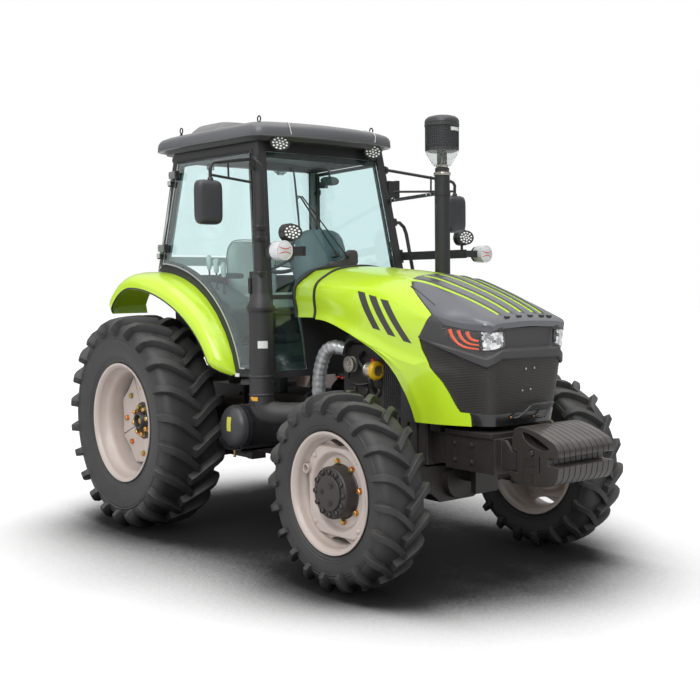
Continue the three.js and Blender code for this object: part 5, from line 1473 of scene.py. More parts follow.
def mirror_ring(x, wide, tall):
    ring = []
    for a in round_angles(48):
        c, s = cos(a), sin(a)
        ring.append(at(mirror_x + x, mirror_y + wide * copysign(abs(c) ** 0.42, c),
            mirror_z + tall * copysign(abs(s) ** 0.3, s)))
    return ring


add_loft([mirror_ring(-28, 80, 122), mirror_ring(-33, 84, 127), mirror_ring(-26, 88, 131),
    mirror_ring(-4, 88, 131), mirror_ring(12, 84, 127), mirror_ring(24, 74, 117), mirror_ring(30, 58, 98),
    mirror_ring(33, 30, 60)])
satin_plastic = weathered(finish("satin_black_moulding", "#333438", 0.4), "#393A3E", "#2E2F32", 300, 1.4,
    0.03, 0.34, 0.46, "#66635E")
pair("mirror_head_right", satin_plastic, "root", "black_plastic", ["mirror_right"], sharp=40)
add_loft([mirror_ring(-34.5, 76, 118), mirror_ring(-31, 78, 120)])
silvered = finish("silvered_mirror_glass", "#E6EAEC", 0.03, 1.0)
pair("mirror_glass_right", silvered, sharp=40)


def pillar_foot(z, out):
    return front_edge(z) - 18, -(cab_half(front_edge(z) - 18, z) + out), z


add_bar(through([pillar_foot(2440, -8), pillar_foot(2440, 60), (mirror_x - 78, mirror_y + 130, 2392),
    (mirror_x - 16, mirror_y + 36, 2372), (mirror_x, mirror_y + 12, 2346), (mirror_x, mirror_y + 10, 2320),
    (mirror_x, mirror_y + 10, 2262)], 8), 10.5, 12)
add_bar([at(*pillar_foot(2290, -8)), at(mirror_x, mirror_y + 10, 2302)], 8, 10)
add_bar([at(1150, -836, 2404), at(1150, -834, 2296)], 6.5, 8)
add_turned([(0, -16), (17, -16), (17, 4), (12, 10), (0, 10)], at(mirror_x, mirror_y + 10, 2278), up, 20)
for z in (2440, 2290):
    x, y, _ = pillar_foot(z, 0)
    add_block((x - 16, y - 10, z - 26), (x + 16, y + 16, z + 26))
add_turned([(0, -10), (26, -10), (26, 10), (20, 16), (0, 16)], at(*pillar_foot(2440, 14)), outward, 20)
pair("mirror_arms_right", powder_black, "root", "black_paint", sharp=50)

# Front lamp brackets
# A folded steel arm on each front pillar, with a clear turn lamp at its end and an LED work lamp above.
eased("lamp_arm_right", [powder_black], 2.0)
eased("lamp_arm_left", [powder_black], 2.0)
clear_lamp = finish("clear_turn_lamp_moulding", "#D2D4D6", 0.12, Coat_Weight=1.0)
red_line = finish("red_lamp_insert", "#C9453C", 0.25, Coat_Weight=0.6)
for side, hand in ((-1, "right"), (1, "left")):
    work_lamp("arm_work_lamp_" + hand, (1616, side * 706, 1954), forward)
    centre = at(1688, side * 818, 1845)
    add_turned([(0, -74), (50, -73), (55, -66), (55, -4), (52, 6), (44, 12), (20, 16), (0, 17)], centre,
        forward, 44)
    add_turned([(48, 3), (56.5, 3), (56.5, 9), (54, 11), (48, 10)], centre, forward, 44)
    for turned in round_angles(24):
        spot = centre + Vector((0, cos(turned), sin(turned))) * 0.0545
        add_bar([spot - Vector((0.056, 0, 0)), spot - Vector((0.004, 0, 0))], 1.6, 6)
    piece("turn_lamp_" + hand, clear_lamp, "root", "lamp_glass", sharp=35)
    for row, bow in ((24, -15), (-24, 15)):
        line = []
        for i in range(17):
            s = i / 8 - 1
            line.append(centre + Vector((0.0175 - 0.0115 * s * s, 0.046 * s, (row + bow * (1 - s * s)) / 1000)))
        add_bar(line, 3, 6)
    piece("turn_lamp_insert_" + hand, red_line, "root", "lamp_glass", sharp=50)

# Exhaust
# A steel silencer up the right front pillar, in heat-proof black: elbow from the engine, slotted guard, cone,
# tail pipe with band clamps, and a swept tip.
heat_black = weathered(finish("heatproof_black_paint", "#272729", 0.46), "#2E2E30", "#202022", 160, 2.0,
    0.08, 0.42, 0.6, "#5E5A55")
ex, ey = 1290, -712
add_turned([(0, 925), (74, 925), (74, 984), (77, 988), (77, 996), (74, 1000), (74, 1094), (77, 1098),
    (77, 1106), (73, 1110), (73, 1488), (76, 1492), (79, 1506), (79, 1530), (74, 1540), (52, 1596),
    (46, 1606), (46, 1702), (42, 1710), (35, 1714), (35, 2322), (0, 2322)], at(ex, ey, 0), up, 40)
add_bar(through([(ex, ey, 2300), (ex, ey, 2326), (ex + 1, ey - 7, 2350), (ex + 3, ey - 26, 2367),
    (ex + 5, ey - 46, 2371)], 5), 34, 24)
add_bar(through([(ex, ey, 1030), (ex, ey, 950), (ex + 40, ey + 40, 896), (ex + 110, ey + 110, 874),
    (ex + 230, ey + 300, 868), (ex + 255, -262, 868)], 6), 46, 24)
add_bar(through([(ex, ey, 985), (ex, ey, 930), (ex + 28, ey + 26, 888), (ex + 88, ey + 88, 870),
    (ex + 190, ey + 215, 868)], 5), 74, 32)
add_turned([(0, -10), (64, -10), (64, 4), (56, 8), (0, 8)], at(ex + 255, -258, 868), outward, 28)
piece("exhaust_pipe", heat_black, "root", "black_paint", ["exhaust_stack"], sharp=35)
# A near-black disc fills the open mouth: soot, and the painted shade inside the pipe.
mouth = at(ex + 5.1, ey - 46.6, 2371)
add_disc(31, -1, 2, mouth, (0.09, -0.99, 0.1), 24)
soot_and_hole_shade = finish("soot_and_hole_shade_black", "#0F0F10", 0.9)
piece("exhaust_mouth", soot_and_hole_shade, sharp=50)
for z, radius in ((1996, 37), (1930, 37), (1720, 37), (1512, 81)):
    add_turned([(radius - 3, -15), (radius + 3, -15), (radius + 5, -12), (radius + 5, 12), (radius + 3, 15),
        (radius - 3, 15)], at(ex, ey, z), up, 36)
    add_block((ex + radius - 2, ey - 30, z - 12), (ex + radius + 16, ey - 8, z + 12))
    add_bolt(at(ex + radius + 7, ey - 30, z), outward, 13, 8, 9)
for z, held in ((1200, 73), (1990, 35)):
    edge = front_edge(z) - 24
    add_bar([on_wall(edge, z, -10), at(ex - held + 8, ey + 6, z)], 12, 8)
    add_block((edge - 22, -(cab_half(edge, z) + 10), z - 30), (edge + 22, -(cab_half(edge, z) - 14), z + 30))
piece("exhaust_clamps", powder_black, "root", "black_paint", sharp=35, bevel=1)
# Near-black bars in the guard are its slots, painted as the shade through the openings.
for row in range(6):
    for i in range(5):
        turned = radians(-118 + 11 * i)
        way = Vector((cos(turned), sin(turned), 0))
        slot_z, bend = 951 - 11 * row, 0.9 * row * row
        add_bar([at(ex + bend, ey + bend, z) + way * 0.0745 for z in (slot_z, slot_z - 5)], 5.5, 6)
piece("exhaust_guard_slots", soot_and_hole_shade, sharp=50)


# A thin blank label bent round a pipe. Angles are in degrees.
def add_label(x, y, radius, heights, first, step, count):
    rows = [[at(x + radius * cos(a), y + radius * sin(a), z) for a in (radians(first + step * k)
        for k in range(count))] for z in heights]
    middle = at(x, y, 0)
    add_sheet(rows, [[middle + (p - middle) * 0.98 + Vector((0, 0, 0.02 * p.z)) for p in row] for row in rows])


# A blank warm-coloured plate is riveted low on the can, and a white one above the guard.
label_yellow = finish("blank_amber_label", "#D79A2B", 0.4)
add_label(ex, ey, 75.2, (958, 970, 982), -96, 6, 8)
piece("exhaust_label", label_yellow, sharp=50)
blank_white = finish("blank_white_label", "#D9DAD8", 0.4)
add_label(ex, ey, 74, (1274, 1296, 1318), -50, 6, 9)
piece("exhaust_upper_label", blank_white, sharp=50)

# Air intake
# A painted stand pipe on the left carries the pre-cleaner: a clear spinner bowl under a ribbed black drum.
ix, iy = 1650, 462
add_bar(through([(ix, iy, 2345), (ix, iy, 2200), (ix, iy, 1900), (ix, iy, 1600), (ix, iy, 1420),
    (ix, iy - 20, 1340), (ix, iy - 80, 1285), (ix, 290, 1260), (ix, 247, 1256)], 5), 49, 28)
add_disc(62, -4, 10, at(ix, 252, 1256), across_tractor, 28)
edge = front_edge(2250) - 24
add_bar([on_wall(edge, 2226, -10, 1), at(ix - 40, iy, 2232)], 15, 4)
add_block((edge - 22, cab_half(edge, 2226) - 14, 2196), (edge + 22, cab_half(edge, 2226) + 10, 2256))
add_turned([(48, -16), (53, -16), (53, 16), (48, 16)], at(ix, iy, 2230), up, 36)
# The mirror arm on this side stands on a boxed foot.
post_x, post_y = front_edge(2308) - 18, cab_half(front_edge(2308) - 18, 2308)
add_block((post_x - 26, post_y - 6, 2252), (post_x + 26, post_y + 70, 2364))
add_block((post_x - 20, post_y + 70, 2246), (post_x + 20, post_y + 98, 2370))
piece("intake_stand_pipe", powder_black, "root", "black_paint", ["intake_pipe"], sharp=35, bevel=1)
for z, radius in ((2402, 34), (2352, 50), (1560, 50)):
    add_turned([(radius - 1, -9), (radius + 4, -9), (radius + 5, -7), (radius + 5, 7), (radius + 4, 9),
        (radius - 1, 9)], at(ix, iy, z), up, 36)
    add_block((ix + 8, iy - radius - 14, z - 7), (ix + 40, iy - radius + 2, z + 7))
arm_foot, arm_head = on_wall(edge, 2226, 0, 1), at(ix - 40, iy, 2232)
arm_way = (arm_head - arm_foot).normalized()
for share in (0.1, 0.18, 0.82, 0.9):
    add_bolt(arm_foot.lerp(arm_head, share) + arm_way.cross(Vector((0, 0, 1))) * 0.012,
        arm_way.cross(Vector((0, 0, 1))), 13, 6, 0)
piece("intake_clamps", zinc_bright, sharp=35, bevel=0.6)
drum_z = 2345.3
profile = [(0, 150), (96, 150), (108, 154), (109, 172)]
for k in range(13):
    low = 174 + k * 10
    profile += [(104, low), (106.5, low + 2), (106.5, low + 6), (104, low + 8)]
profile += [(110, 306), (112, 309), (112, 321), (109, 324), (109, 328), (111, 331), (110, 344), (104, 356),
    (90, 367), (60, 375), (30, 378), (0, 379)]
add_turned(profile, at(ix, iy, drum_z), up, 48)
piece("precleaner_drum", satin_plastic, "root", "black_plastic", ["precleaner"], sharp=30)
for turned in round_angles(40):
    way = Vector((cos(turned), sin(turned), 0))
    add_bar([at(ix, iy, drum_z + 174) + way * 0.1065, at(ix, iy, drum_z + 303) + way * 0.1065], 2.4, 5)
piece("precleaner_ribs", satin_plastic, "root", "black_plastic", sharp=50)
smoked_bowl = finish("clear_smoked_polycarbonate", "#EEF1F0", 0.04, Transmission_Weight=0.94, IOR=1.12)
add_turned([(46, 58), (54, 58), (62, 66), (100, 132), (107, 146), (107, 154), (103, 154), (96, 134),
    (58, 69), (46, 62)], at(ix, iy, drum_z), up, 48)
piece("precleaner_bowl", smoked_bowl, "root", "lamp_glass", sharp=40)
add_turned([(0, 0), (48, 0), (48, 20), (44, 26), (46, 30), (46, 42), (36, 50), (32, 60), (32, 148),
    (0, 148)], at(ix, iy, drum_z), up, 36)
piece("precleaner_neck", powder_black, "root", "black_plastic", sharp=35)
add_label(ix, iy, 109, (2618, 2629, 2640), -12, 7, 7)
piece("precleaner_label", blank_white, sharp=50)

# Grab rail
# A bent tube by the left door, on two welded feet.
eased("grab_rail_left", [powder_black], 1.5)

# Rear fenders
# Pressed steel in the same green, rolled over the wheel with a dropped outer edge, black rubber trim along it.
fender_stops = [(-10, 755, 1000, 20 + 70 * i / 28) for i in range(29)]
fender_stops += [(-10, 1275, 480, 90 + 58 * i / 20) for i in range(1, 21)]
trim = []
rows = []
for cx, cz, radius, angle in fender_stops:
    # The foot narrows to a rounded tip, and the tail's outer corner is rounded too.
    tip = 115 * max(0, 1 - (angle - 20) / 8) ** 2 + 24 * max(0, (angle - 140) / 8) ** 2
    outer = 780 + 120 * soft_step(angle, 25, 92) - tip
    k = min(1, (outer - 565) / 215)
    roll = outer - 96 * k
    flat = roll - 565.3
    skin = smooth_line([(565.3, 0), (565.3 + 0.4 * flat, 1), (565.3 + 0.8 * flat, 0), (roll, -6 * k),
        (outer - 55 * k, -17 * k), (outer - 20 * k, -38 * k), (outer - 3, -66 * k), (outer, -88 * k),
        (outer, -110 * k)], 3)
    turned = radians(angle)
    rows.append([at(cx + (radius + h) * cos(turned), -y, cz + (radius + h) * sin(turned)) for y, h in skin])
    trim.append(at(cx + (radius - 111 * k) * cos(turned), -outer + 2, cz + (radius - 111 * k) * sin(turned)))
# A plate closes the tail down to the level of its outer edge.
foot = min(p.z for p in rows[-1]) - 0.004
tail = rows[-1]
for share in (0.2, 0.5, 0.8, 1.0):
    rows.append([Vector((p.x + 0.02 * share, p.y, p.z + (foot - p.z) * share)) for p in tail])
fender_stops += [(400, 1275, 480, 148)] * 4
under = []
for row, (cx, cz, radius, angle) in zip(rows, fender_stops):
    middle = at(cx, -560, cz)
    under.append([p - ((p - middle) - Vector((0, (p - middle).y * 0.4, 0))).normalized() * 0.008 for p in row])
add_sheet(rows, under)
pair("rear_fender_skin_right", green_enamel, "root", "green_paint", ["rear_fender_right"], sharp=30,
    bevel=1)
add_bar(trim, 6, 8)
pair("rear_fender_trim_right", gasket_rubber, "root", "black_plastic", sharp=50)

# Chassis castings
# Transmission, engine block, front axle and carrier: sand-cast iron in dark satin paint, edges rounded as cast.
for node_name, width in (("transmission", 9), ("engine", 8), ("front_frame", 4), ("front_axle", 7),
        ("drawbar", 4), ("front_knuckle_right", 5), ("front_knuckle_left", 5), ("lift_arms", 3),
        ("lift_rod_right", 1.5), ("lift_rod_left", 1.5), ("lower_link_right", 3), ("lower_link_left", 3)):
    eased(node_name, [cast_iron], width, "cast_iron")
eased("radiator", [powder_black], 3, "radiator_black")
for side in (-1, 1):
    for x in (2496, 2626):
        for z in (688, 782):
            add_bolt(at(x, side * 264, z), (0, side, 0), 22, 12, 16)
    for x in (2520, 2600, 2680):
        add_bolt(at(x, side * 240, 836), up, 18, 10, 14)
    for x, z in ((320, 560), (320, 900), (470, 540), (470, 880), (1440, 540), (1440, 900)):
        add_bolt(at(x, side * (230 if x < 360 else 195), z), (0, side, 0), 22, 14, 16)
piece("chassis_bolts", cast_iron, "root", "cast_iron", sharp=25)
for k in range(9):
    x = 1560 + 76 * k
    for side in (-1, 1):
        add_block((x - 5, side * 246 - 9, 620), (x + 5, side * 246 + 9, 880))
for side in (-1, 1):
    add_block((1530, side * 246 - 12, 606), (2220, side * 246 + 12, 624))
    add_block((1530, side * 246 - 12, 876), (2220, side * 246 + 12, 892))
    for k in range(6):
        add_turned([(0, -10), (34, -10), (34, 10), (28, 16), (0, 16)], at(1600 + 112 * k, side * 246, 1010),
            (0, side, 0), 20)
piece("engine_ribs", cast_iron, "root", "cast_iron", sharp=30, bevel=2)

# Front weights
# Ten suitcase plates of cast iron hang side by side on the carrier, each with a grip hole, a long notch and a
# clamp rod through all of them.
weight_outline = eased_loop([(2832, 662), (2896, 600), (3086, 606), (3150, 622), (3176, 660), (3184, 712),
    (3184, 716), (3120, 718), (3112, 724), (3112, 752), (3120, 760), (3184, 762), (3184, 800), (3158, 834),
    (3096, 862), (3034, 884), (2976, 898), (2916, 902), (2884, 888), (2874, 846), (2868, 774),
    (2897.5, 772), (2897.5, 791.5), (2926.5, 791.5), (2926.5, 661)], 0.12, 1)
grip_hole = eased_loop([(2938, 880), (2990, 868), (3050, 846), (3108, 816), (3120, 802), (3082, 792),
    (3034, 798), (2984, 818), (2950, 846)], 0.2, 1)
rod_hole = [(3004 + 19 * cos(a), 772 + 21 * sin(a)) for a in round_angles(18)]
narrow_slot = [(3050, 668), (3058, 668), (3058, 756), (3050, 756)]


def add_holed_plate(outline, holes, y0, y1):
    edges = []
    for loop in [outline, *holes]:
        corners = [shape.verts.new(at(x, y0, z)) for x, z in loop]
        edges += [shape.edges.new((a, b)) for a, b in zip(corners, corners[1:] + corners[:1])]
    flat = bmesh.ops.triangle_fill(shape, use_beauty=True, use_dissolve=False, edges=edges)
    faces = [f for f in flat["geom"] if isinstance(f, bmesh.types.BMFace)]
    pushed = bmesh.ops.extrude_face_region(shape, geom=faces)
    for v in [v for v in pushed["geom"] if isinstance(v, bmesh.types.BMVert)]:
        v.co.y += (y1 - y0) / 1000


weight_iron = weathered(finish("cast_iron_weight_enamel", "#302B29", 0.36, Coat_Weight=0.3), "#37322F",
    "#292523", 120, 3.0, 0.25, 0.34, 0.5, "#77716A")
row_of_parts, given = tree_with("row_of_parts", {"Count": "Int", "Step": "Vector"})
number_line = node(row_of_parts, "GeometryNodeMeshLine", {},
    {"Count": given.outputs["Count"], "Offset": given.outputs["Step"]})
standing = node(row_of_parts, "GeometryNodeInstanceOnPoints", {},
    {"Points": number_line.outputs[0], "Instance": given.outputs["Part"]})
close_tree(row_of_parts, given, standing.outputs[0])
first_y = -4.5 * 44.5
add_holed_plate(weight_outline, [grip_hole, rod_hole, narrow_slot], first_y - 20, first_y + 20)
weights = piece("front_weight_plates", weight_iron, "root", "weight_iron", ["front_weights"], sharp=32,
    bevel=3.2)
weights.modifiers.remove(weights.modifiers[0])
bpy.context.view_layer.update()
grown(weights, row_of_parts, Count=10, Step=(0.0, 0.0445, 0.0))
edges = weights.modifiers.new("rounded_edges", "BEVEL")
edges.width, edges.segments, edges.limit_method, edges.angle_limit = 0.0024, 2, "ANGLE", radians(34)
edges.harden_normals = True
add_disc(11, -8, 428, at(3004, first_y - 12, 772), across_tractor, 20)
add_bolt(at(3004, first_y - 12, 772), outward, 26, 14, 18)
add_bolt(at(3004, -first_y + 12, 772), across_tractor, 26, 14, 18)
for y in (-178, -90, 0, 90, 178):
    add_turned([(11, -20), (17, -20), (17, 20), (11, 20)], at(3004, y, 772), across_tractor, 20)
# Raised frames on the outer plate's side, where a plain casting would carry its data.
for x0, x1, z0, z1 in ((2956, 3020, 702, 744), (2944, 3014, 622, 664)):
    for side in (-1, 1):
        y = side * (-first_y + 20)
        for a, b, c, d in ((x0, z0, x1, z0 + 5), (x0, z1 - 5, x1, z1), (x0, z0, x0 + 5, z1),
                (x1 - 5, z0, x1, z1)):
            add_block((a, min(y, y + side * 2.5), b), (c, max(y, y + side * 2.5), d))
piece("front_weight_rod", weight_iron, "root", "weight_iron", sharp=30)

# Air tank
# A welded steel cylinder with dished ends in satin black, strapped to a folded bracket, with a drain cock below
# and a blank plate on its end.
tank_grey = weathered(finish("satin_dark_grey_enamel", "#3A3A3D", 0.38), "#404043", "#333336", 260, 2.2,
    0.05, 0.34, 0.46, "#716D67")
add_turned([(0, 0), (46, 2), (84, 9), (112, 22), (130, 40), (137, 60), (138, 68), (139.5, 70), (139.5, 76),
    (138, 78), (138, 392), (139.5, 394), (139.5, 400), (138, 402), (130, 430), (112, 448), (84, 461),
    (0, 470)], at(906, -722, 755), across_tractor, 56)
piece("air_tank_shell", tank_grey, "root", "black_paint", ["air_tank"], sharp=40)
add_block((836, -662, 603), (976, -196, 617))
add_block((836, -662, 603), (842, -196, 660))
add_block((970, -662, 603), (976, -196, 660))
for y in (-610, -330):
    add_turned([(138.5, -16), (142, -16), (142, 16), (138.5, 16)], at(906, y, 755), across_tractor, 56)
    for x in (836, 976):
        add_bolt(at(x, y, 640), (1 if x > 900 else -1, 0, 0), 16, 10, 13)
piece("air_tank_bracket", powder_black, "root", "black_paint", sharp=30, bevel=1.5)
brass = finish("turned_brass", "#A88B50", 0.35, 0.9)
add_turned([(0, 0), (9, 0), (9, -18), (6, -20), (6, -40), (10, -42), (10, -50), (0, -52)],
    at(866, -640, 604), up, 16)
add_bar([at(846, -640, 578), at(886, -640, 578)], 3, 8)
piece("air_tank_drain", brass, sharp=40)
blank_yellow = finish("blank_yellow_label", "#CFCB4C", 0.4)
label_rows = []
for z in [733 + 10 * k for k in range(10)]:
    row = []
    for x in (906, 920, 934, 948):
        r = hypot(x - 906, z - 755)
        along = along_path(((0, 0), (46, 2), (84, 9), (112, 22), (138, 68)), r)
        row.append(at(x, -722 + along - 1.2, z))
    label_rows.append(row)
add_film(label_rows, 0, 0.001, 0)
piece("air_tank_plate", blank_yellow, sharp=60)

# Fuel tank and steps
# A blow-moulded polyethylene tank under the left side, with folded steel steps bolted outside it.
moulded_tank = weathered(finish("blow_moulded_polyethylene", "#2E2E30", 0.5), "#343436", "#2A2A2C", 200,
    3.0, 0.12, 0.44, 0.58, "#6A665F")
eased("fuel_tank", [moulded_tank], 24, "black_plastic")
add_turned([(0, 0), (44, 0), (44, 10), (40, 12), (40, 34), (36, 40), (0, 42)], at(1240, 470, 998), up, 32)
for x in (900, 1230):
    add_bar(through([(x, 252, 1003), (x, 500, 1003), (x, 552, 990), (x, 563, 950), (x, 563, 560),
        (x, 540, 522), (x, 252, 517)], 4), 6, 8)
piece("fuel_tank_fittings", powder_black, "root", "black_paint", sharp=35)
eased("steps_left", [powder_black], 1.5)
for i in range(2):
    z, far = 484 + 250 * i, 790 - 70 * i
    for k in range(11):
        for m in range(3):
            add_turned([(5, 0), (9, 0), (8, 4), (6, 4)], at(922 + 23.6 * k, far - 40 - 50 * m, z), up, 10)
piece("step_tread_studs", powder_black, "root", "black_paint", sharp=50)

# Engine dressing
# What shows between the bonnet and the front wheel: a foil-wrapped hot pipe, pulleys, an alternator with a
# yellow guard, rubber hoses, and the slotted screen beside the radiator.
foil_wrap = finish("crumpled_aluminium_foil", "#B4B7B9", 0.4, 0.6)
tree, place = patterned(foil_wrap)
# Creases about 28 mm apart.
crumple = node(tree, "ShaderNodeTexVoronoi", {"Scale": 1000 / 28}, {"Vector": place})
creases = node(tree, "ShaderNodeBump", {"Distance": 0.0016}, {"Height": crumple.outputs["Distance"]})
feed(tree, "Normal", creases.outputs[0])
hot_line = through([(1540, -262, 1255), (1480, -300, 1268), (1425, -322, 1236), (1384, -330, 1150),
    (1362, -330, 1060), (1352, -326, 960), (1352, -316, 900)], 8)
add_bar(hot_line, [42 + 2.2 * sin(i * 1.9) for i in range(len(hot_line))], 28)
piece("hot_pipe_wrap", foil_wrap, sharp=50)
for number, spot in enumerate(hot_line[::7]):
    add_turned([(43, -1.5), (45, -1.5), (45, 1.5), (43, 1.5)], spot,
        (hot_line[min(7 * number + 1, len(hot_line) - 1)] - hot_line[max(7 * number - 1, 0)]), 28)
add_turned([(0, -20), (48, -20), (48, -8), (40, -5), (40, 5), (48, 8), (48, 20), (30, 22), (26, 12),
    (0, 12)], at(1640, -300, 1170), outward, 36)
for k in range(6):
    turned = pi * k / 3
    add_turned([(0, 0), (6, 0), (6, 4), (0, 5)], at(1640 + 18 * cos(turned), -312, 1170 + 18 * sin(turned)),
        outward, 10)
piece("engine_bright_parts", zinc_bright, sharp=35)
add_turned([(0, -56), (40, -56), (49, -50), (51, -40), (48, -36), (51, -32), (51, 8), (46, 20), (32, 30),
    (0, 32)], at(1846, -290, 1142), forward, 40)
for turned in round_angles(12):
    way = Vector((0, cos(turned), sin(turned)))
    add_bar([at(1812, -290, 1142) + way * 0.051, at(1852, -290, 1142) + way * 0.051], 2.6, 6)
piece("alternator", zinc_bright, sharp=35)
guard_yellow = finish("yellow_moulded_guard", "#E2B720", 0.4)
add_turned([(32, 34), (44, 32), (52, 26), (54, 10), (57, 10), (57, 28), (48, 38), (32, 40)],
    at(1846, -290, 1142), forward, 40)
piece("alternator_guard", guard_yellow, sharp=35)
red_cap = finish("red_moulded_cap", "#C2302B", 0.4)
add_turned([(0, 0), (14, 0), (14, 14), (10, 18), (0, 18)], at(1840, -292, 1194), up, 18)
add_block((1488, -288, 1080), (1504, -276, 1090))
add_block((1530, -288, 1076), (1546, -276, 1086))
piece("engine_red_caps", red_cap, sharp=35, bevel=1)
hose_rubber = finish("black_hose_rubber", "#1E1E20", 0.45)
for line, radius in (([(1560, -250, 1290), (1640, -290, 1330), (1760, -300, 1322), (1860, -280, 1290),
        (1930, -250, 1300)], 24), ([(1700, -246, 1240), (1720, -300, 1200), (1800, -310, 1130),
        (1830, -300, 1060), (1820, -246, 1000)], 13), ([(1240, -200, 1000), (1230, -330, 960),
        (1300, -350, 925), (1420, -330, 935), (1500, -250, 980)], 11),
        ([(1580, -248, 1150), (1600, -290, 1080), (1700, -300, 1050), (1760, -248, 1060)], 9),
        ([(2230, -200, 1330), (2180, -240, 1350), (2080, -250, 1330), (2000, -248, 1280)], 30),
        ([(2230, 200, 960), (2190, 260, 950), (2100, 270, 980), (2040, 246, 1020)], 26)):
    add_bar(through(line, 6), radius, 14)
piece("engine_hoses", hose_rubber, sharp=50)
add_block((2092, -300, 866), (2262, -292, 1210))
add_block((2092, 292, 866), (2262, 300, 1180))
for side in (-1, 1):
    y0, y1 = sorted((side * 300, side * 294))
    for k in range(9):
        add_block((1942 + 17.5 * k, y0, 930), (1949 + 17.5 * k, y1, 1206))
    for z in (930, 1000, 1068, 1136, 1198):
        add_block((1942, y0, z), (2092, y1, z + 8))
piece("radiator_side_screens", powder_black, "root", "radiator_black", sharp=30)
radiator_core = weathered(finish("radiator_fin_black", "#1C1C1D", 0.5), "#202021", "#181819", 300, 2.0, 0.3,
    0.4, 0.6)
for k in range(60):
    add_block((2380, -262, 872 + 9 * k), (2386, 262, 874.5 + 9 * k))
piece("radiator_fins", radiator_core, "root", "radiator_black", sharp=30)
# A small blank plate on the sill under the right door.
add_film([[on_wall(x, z, 1.5) for x in (926, 970)] for z in (1077, 1099)], 0, 0.001, 0)
piece("sill_plate", blank_white, sharp=40)

# Cab floor and lining
# A welded tub under a grey moulded mat, with a thin headliner of the same moulding above.
cab_lining = weathered(finish("grey_moulded_cab_lining", "#35403C", 0.6), "#3D4844", "#2E3835", 300, 2.0,
    0.1, 0.54, 0.66)
eased("cab_floor", [cab_lining], 4, "cab_lining")
rows = []
for x in (80, 400, 700, 930):
    rows.append([at(x, y, 2552 - 20 * (y / 500) ** 4) for y in [-495 + 55 * k for k in range(19)]])
add_film(rows, 0, 0, 0.006)
piece("headliner", cab_lining, "root", "cab_lining", sharp=40)

# Dashboard
# A moulded pedestal with a rounded hood, an instrument face towards the driver, and the steering column.
dash_plastic = weathered(finish("soft_touch_dash_moulding", "#4F5F63", 0.55), "#566669", "#48575B", 260,
    1.6, 0.06, 0.48, 0.6)
rings = []
for z, x0, x1, half in ((1111, 902, 1118, 150), (1300, 880, 1114, 165), (1480, 852, 1108, 190),
        (1640, 862, 1098, 205), (1780, 872, 1072, 210), (1900, 880, 1040, 205), (1960, 888, 1022, 190),
        (1996, 902, 1006, 160), (2014, 926, 990, 110), (2019, 945, 975, 60)):
    rings.append([at(x, y, z) for x, y in eased_loop([(x0, -half), (x1, -half * 0.9), (x1, half * 0.9),
        (x0, half)], 0.24, 3)])
add_loft(rings)
axis = Vector((-sin(radians(32)), 0, cos(radians(32))))
hub_spot = at(640, 0, 1850)
add_bar([hub_spot - axis * 0.43, hub_spot - axis * 0.2, hub_spot - axis * 0.05], [46, 40, 36], 24)
add_bar([hub_spot - axis * 0.06, hub_spot - axis * 0.003], 12, 16)
piece("dashboard_pedestal", dash_plastic, "root", "black_plastic", ["dashboard"], sharp=45)
dial_face = finish("pale_dial_face", "#D6DDDB", 0.3, Coat_Weight=0.6)
for y, radius in ((-110, 42), (0, 58), (110, 42)):
    add_turned([(0, 0), (radius, 0), (radius, 6), (radius - 5, 9), (radius - 8, 4), (0, 4)],
        at(876, y, 1860), (-0.98, 0, 0.18), 32)
piece("instrument_dials", dial_face, sharp=40)
for side in (-1, 1):
    add_bar([hub_spot - axis * 0.09 + Vector((0, side * 0.035, 0)),
        hub_spot - axis * 0.075 + Vector((0.01, side * 0.19, 0))], [5, 4], 8)
piece("column_stalks", powder_black, "root", "black_plastic", sharp=50)

# Steering wheel
# A steel hoop in moulded grip, three spokes and a padded boss, tilted towards the driver.
across = axis.orthogonal().normalized()
other = axis.cross(across)
rim_line = [hub_spot + (across * cos(a) + other * sin(a)) * 0.195 for a in round_angles(64)]
add_bar(rim_line, 14.5, 12, closed=True)
add_turned([(0, 0), (34, -8), (42, -24), (42, -2), (44, 4), (40, 14), (20, 20), (0, 21)], hub_spot, axis, 32)
for a in (90, 210, 330):
    way = Matrix.Rotation(radians(a), 3, axis) @ Vector((axis.z, 0, -axis.x))
    add_bar([hub_spot + way * 0.03 - axis * 0.008, hub_spot + way * 0.12 - axis * 0.012,
        hub_spot + way * 0.19], [12, 9, 8], 10)
piece("steering_wheel_rim", satin_plastic, "steering_wheel", "black_plastic", ["steering_wheel"], sharp=45)

# Console and levers
# A moulded side console at the driver's right hand, with three long spool levers in grey knobs.
console_plastic = weathered(finish("teal_grey_console_moulding", "#465451", 0.5), "#4E5C59", "#3F4C49", 240,
    1.6, 0.05, 0.44, 0.56)
outline = eased_loop([(122, 1252), (536, 1252), (708, 1470), (714, 1500), (700, 1536), (560, 1590),
    (420, 1636), (270, 1672), (122, 1686)], 0.2, 2)
add_loft([[at(430 + (x - 430) * g, y, 1470 + (z - 1470) * g) for x, z in outline]
    for g, y in ((0.94, -553), (0.985, -548), (1.0, -538), (1.0, -350), (0.985, -337), (0.94, -332))])
piece("console_body", console_plastic, "root", "cab_lining", ["control_console"], sharp=45)
knob_grey = finish("pale_grey_lever_knob", "#B4BEBA", 0.45)
levers = ((330, 1655), (420, 1630), (510, 1600))
for x, z in levers:
    add_bar([at(x, -470, z - 20), at(x - 5, -470, z + 120)], 6.5, 12)
    add_turned([(8, 0), (22, 0), (20, 8), (12, 16), (8, 18)], at(x, -470, z - 4), up, 20)
piece("console_lever_shafts", powder_black, "root", "black_plastic", sharp=45)
for x, z in levers:
    add_turned([(0, 0), (12, 0), (16, 10), (18, 40), (19, 70), (17, 88), (10, 98), (0, 101)],
        at(x - 4, -470, z + 112), (-0.05, 0, 1), 20)
piece("console_lever_knobs", knob_grey, "root", "black_plastic", sharp=50)

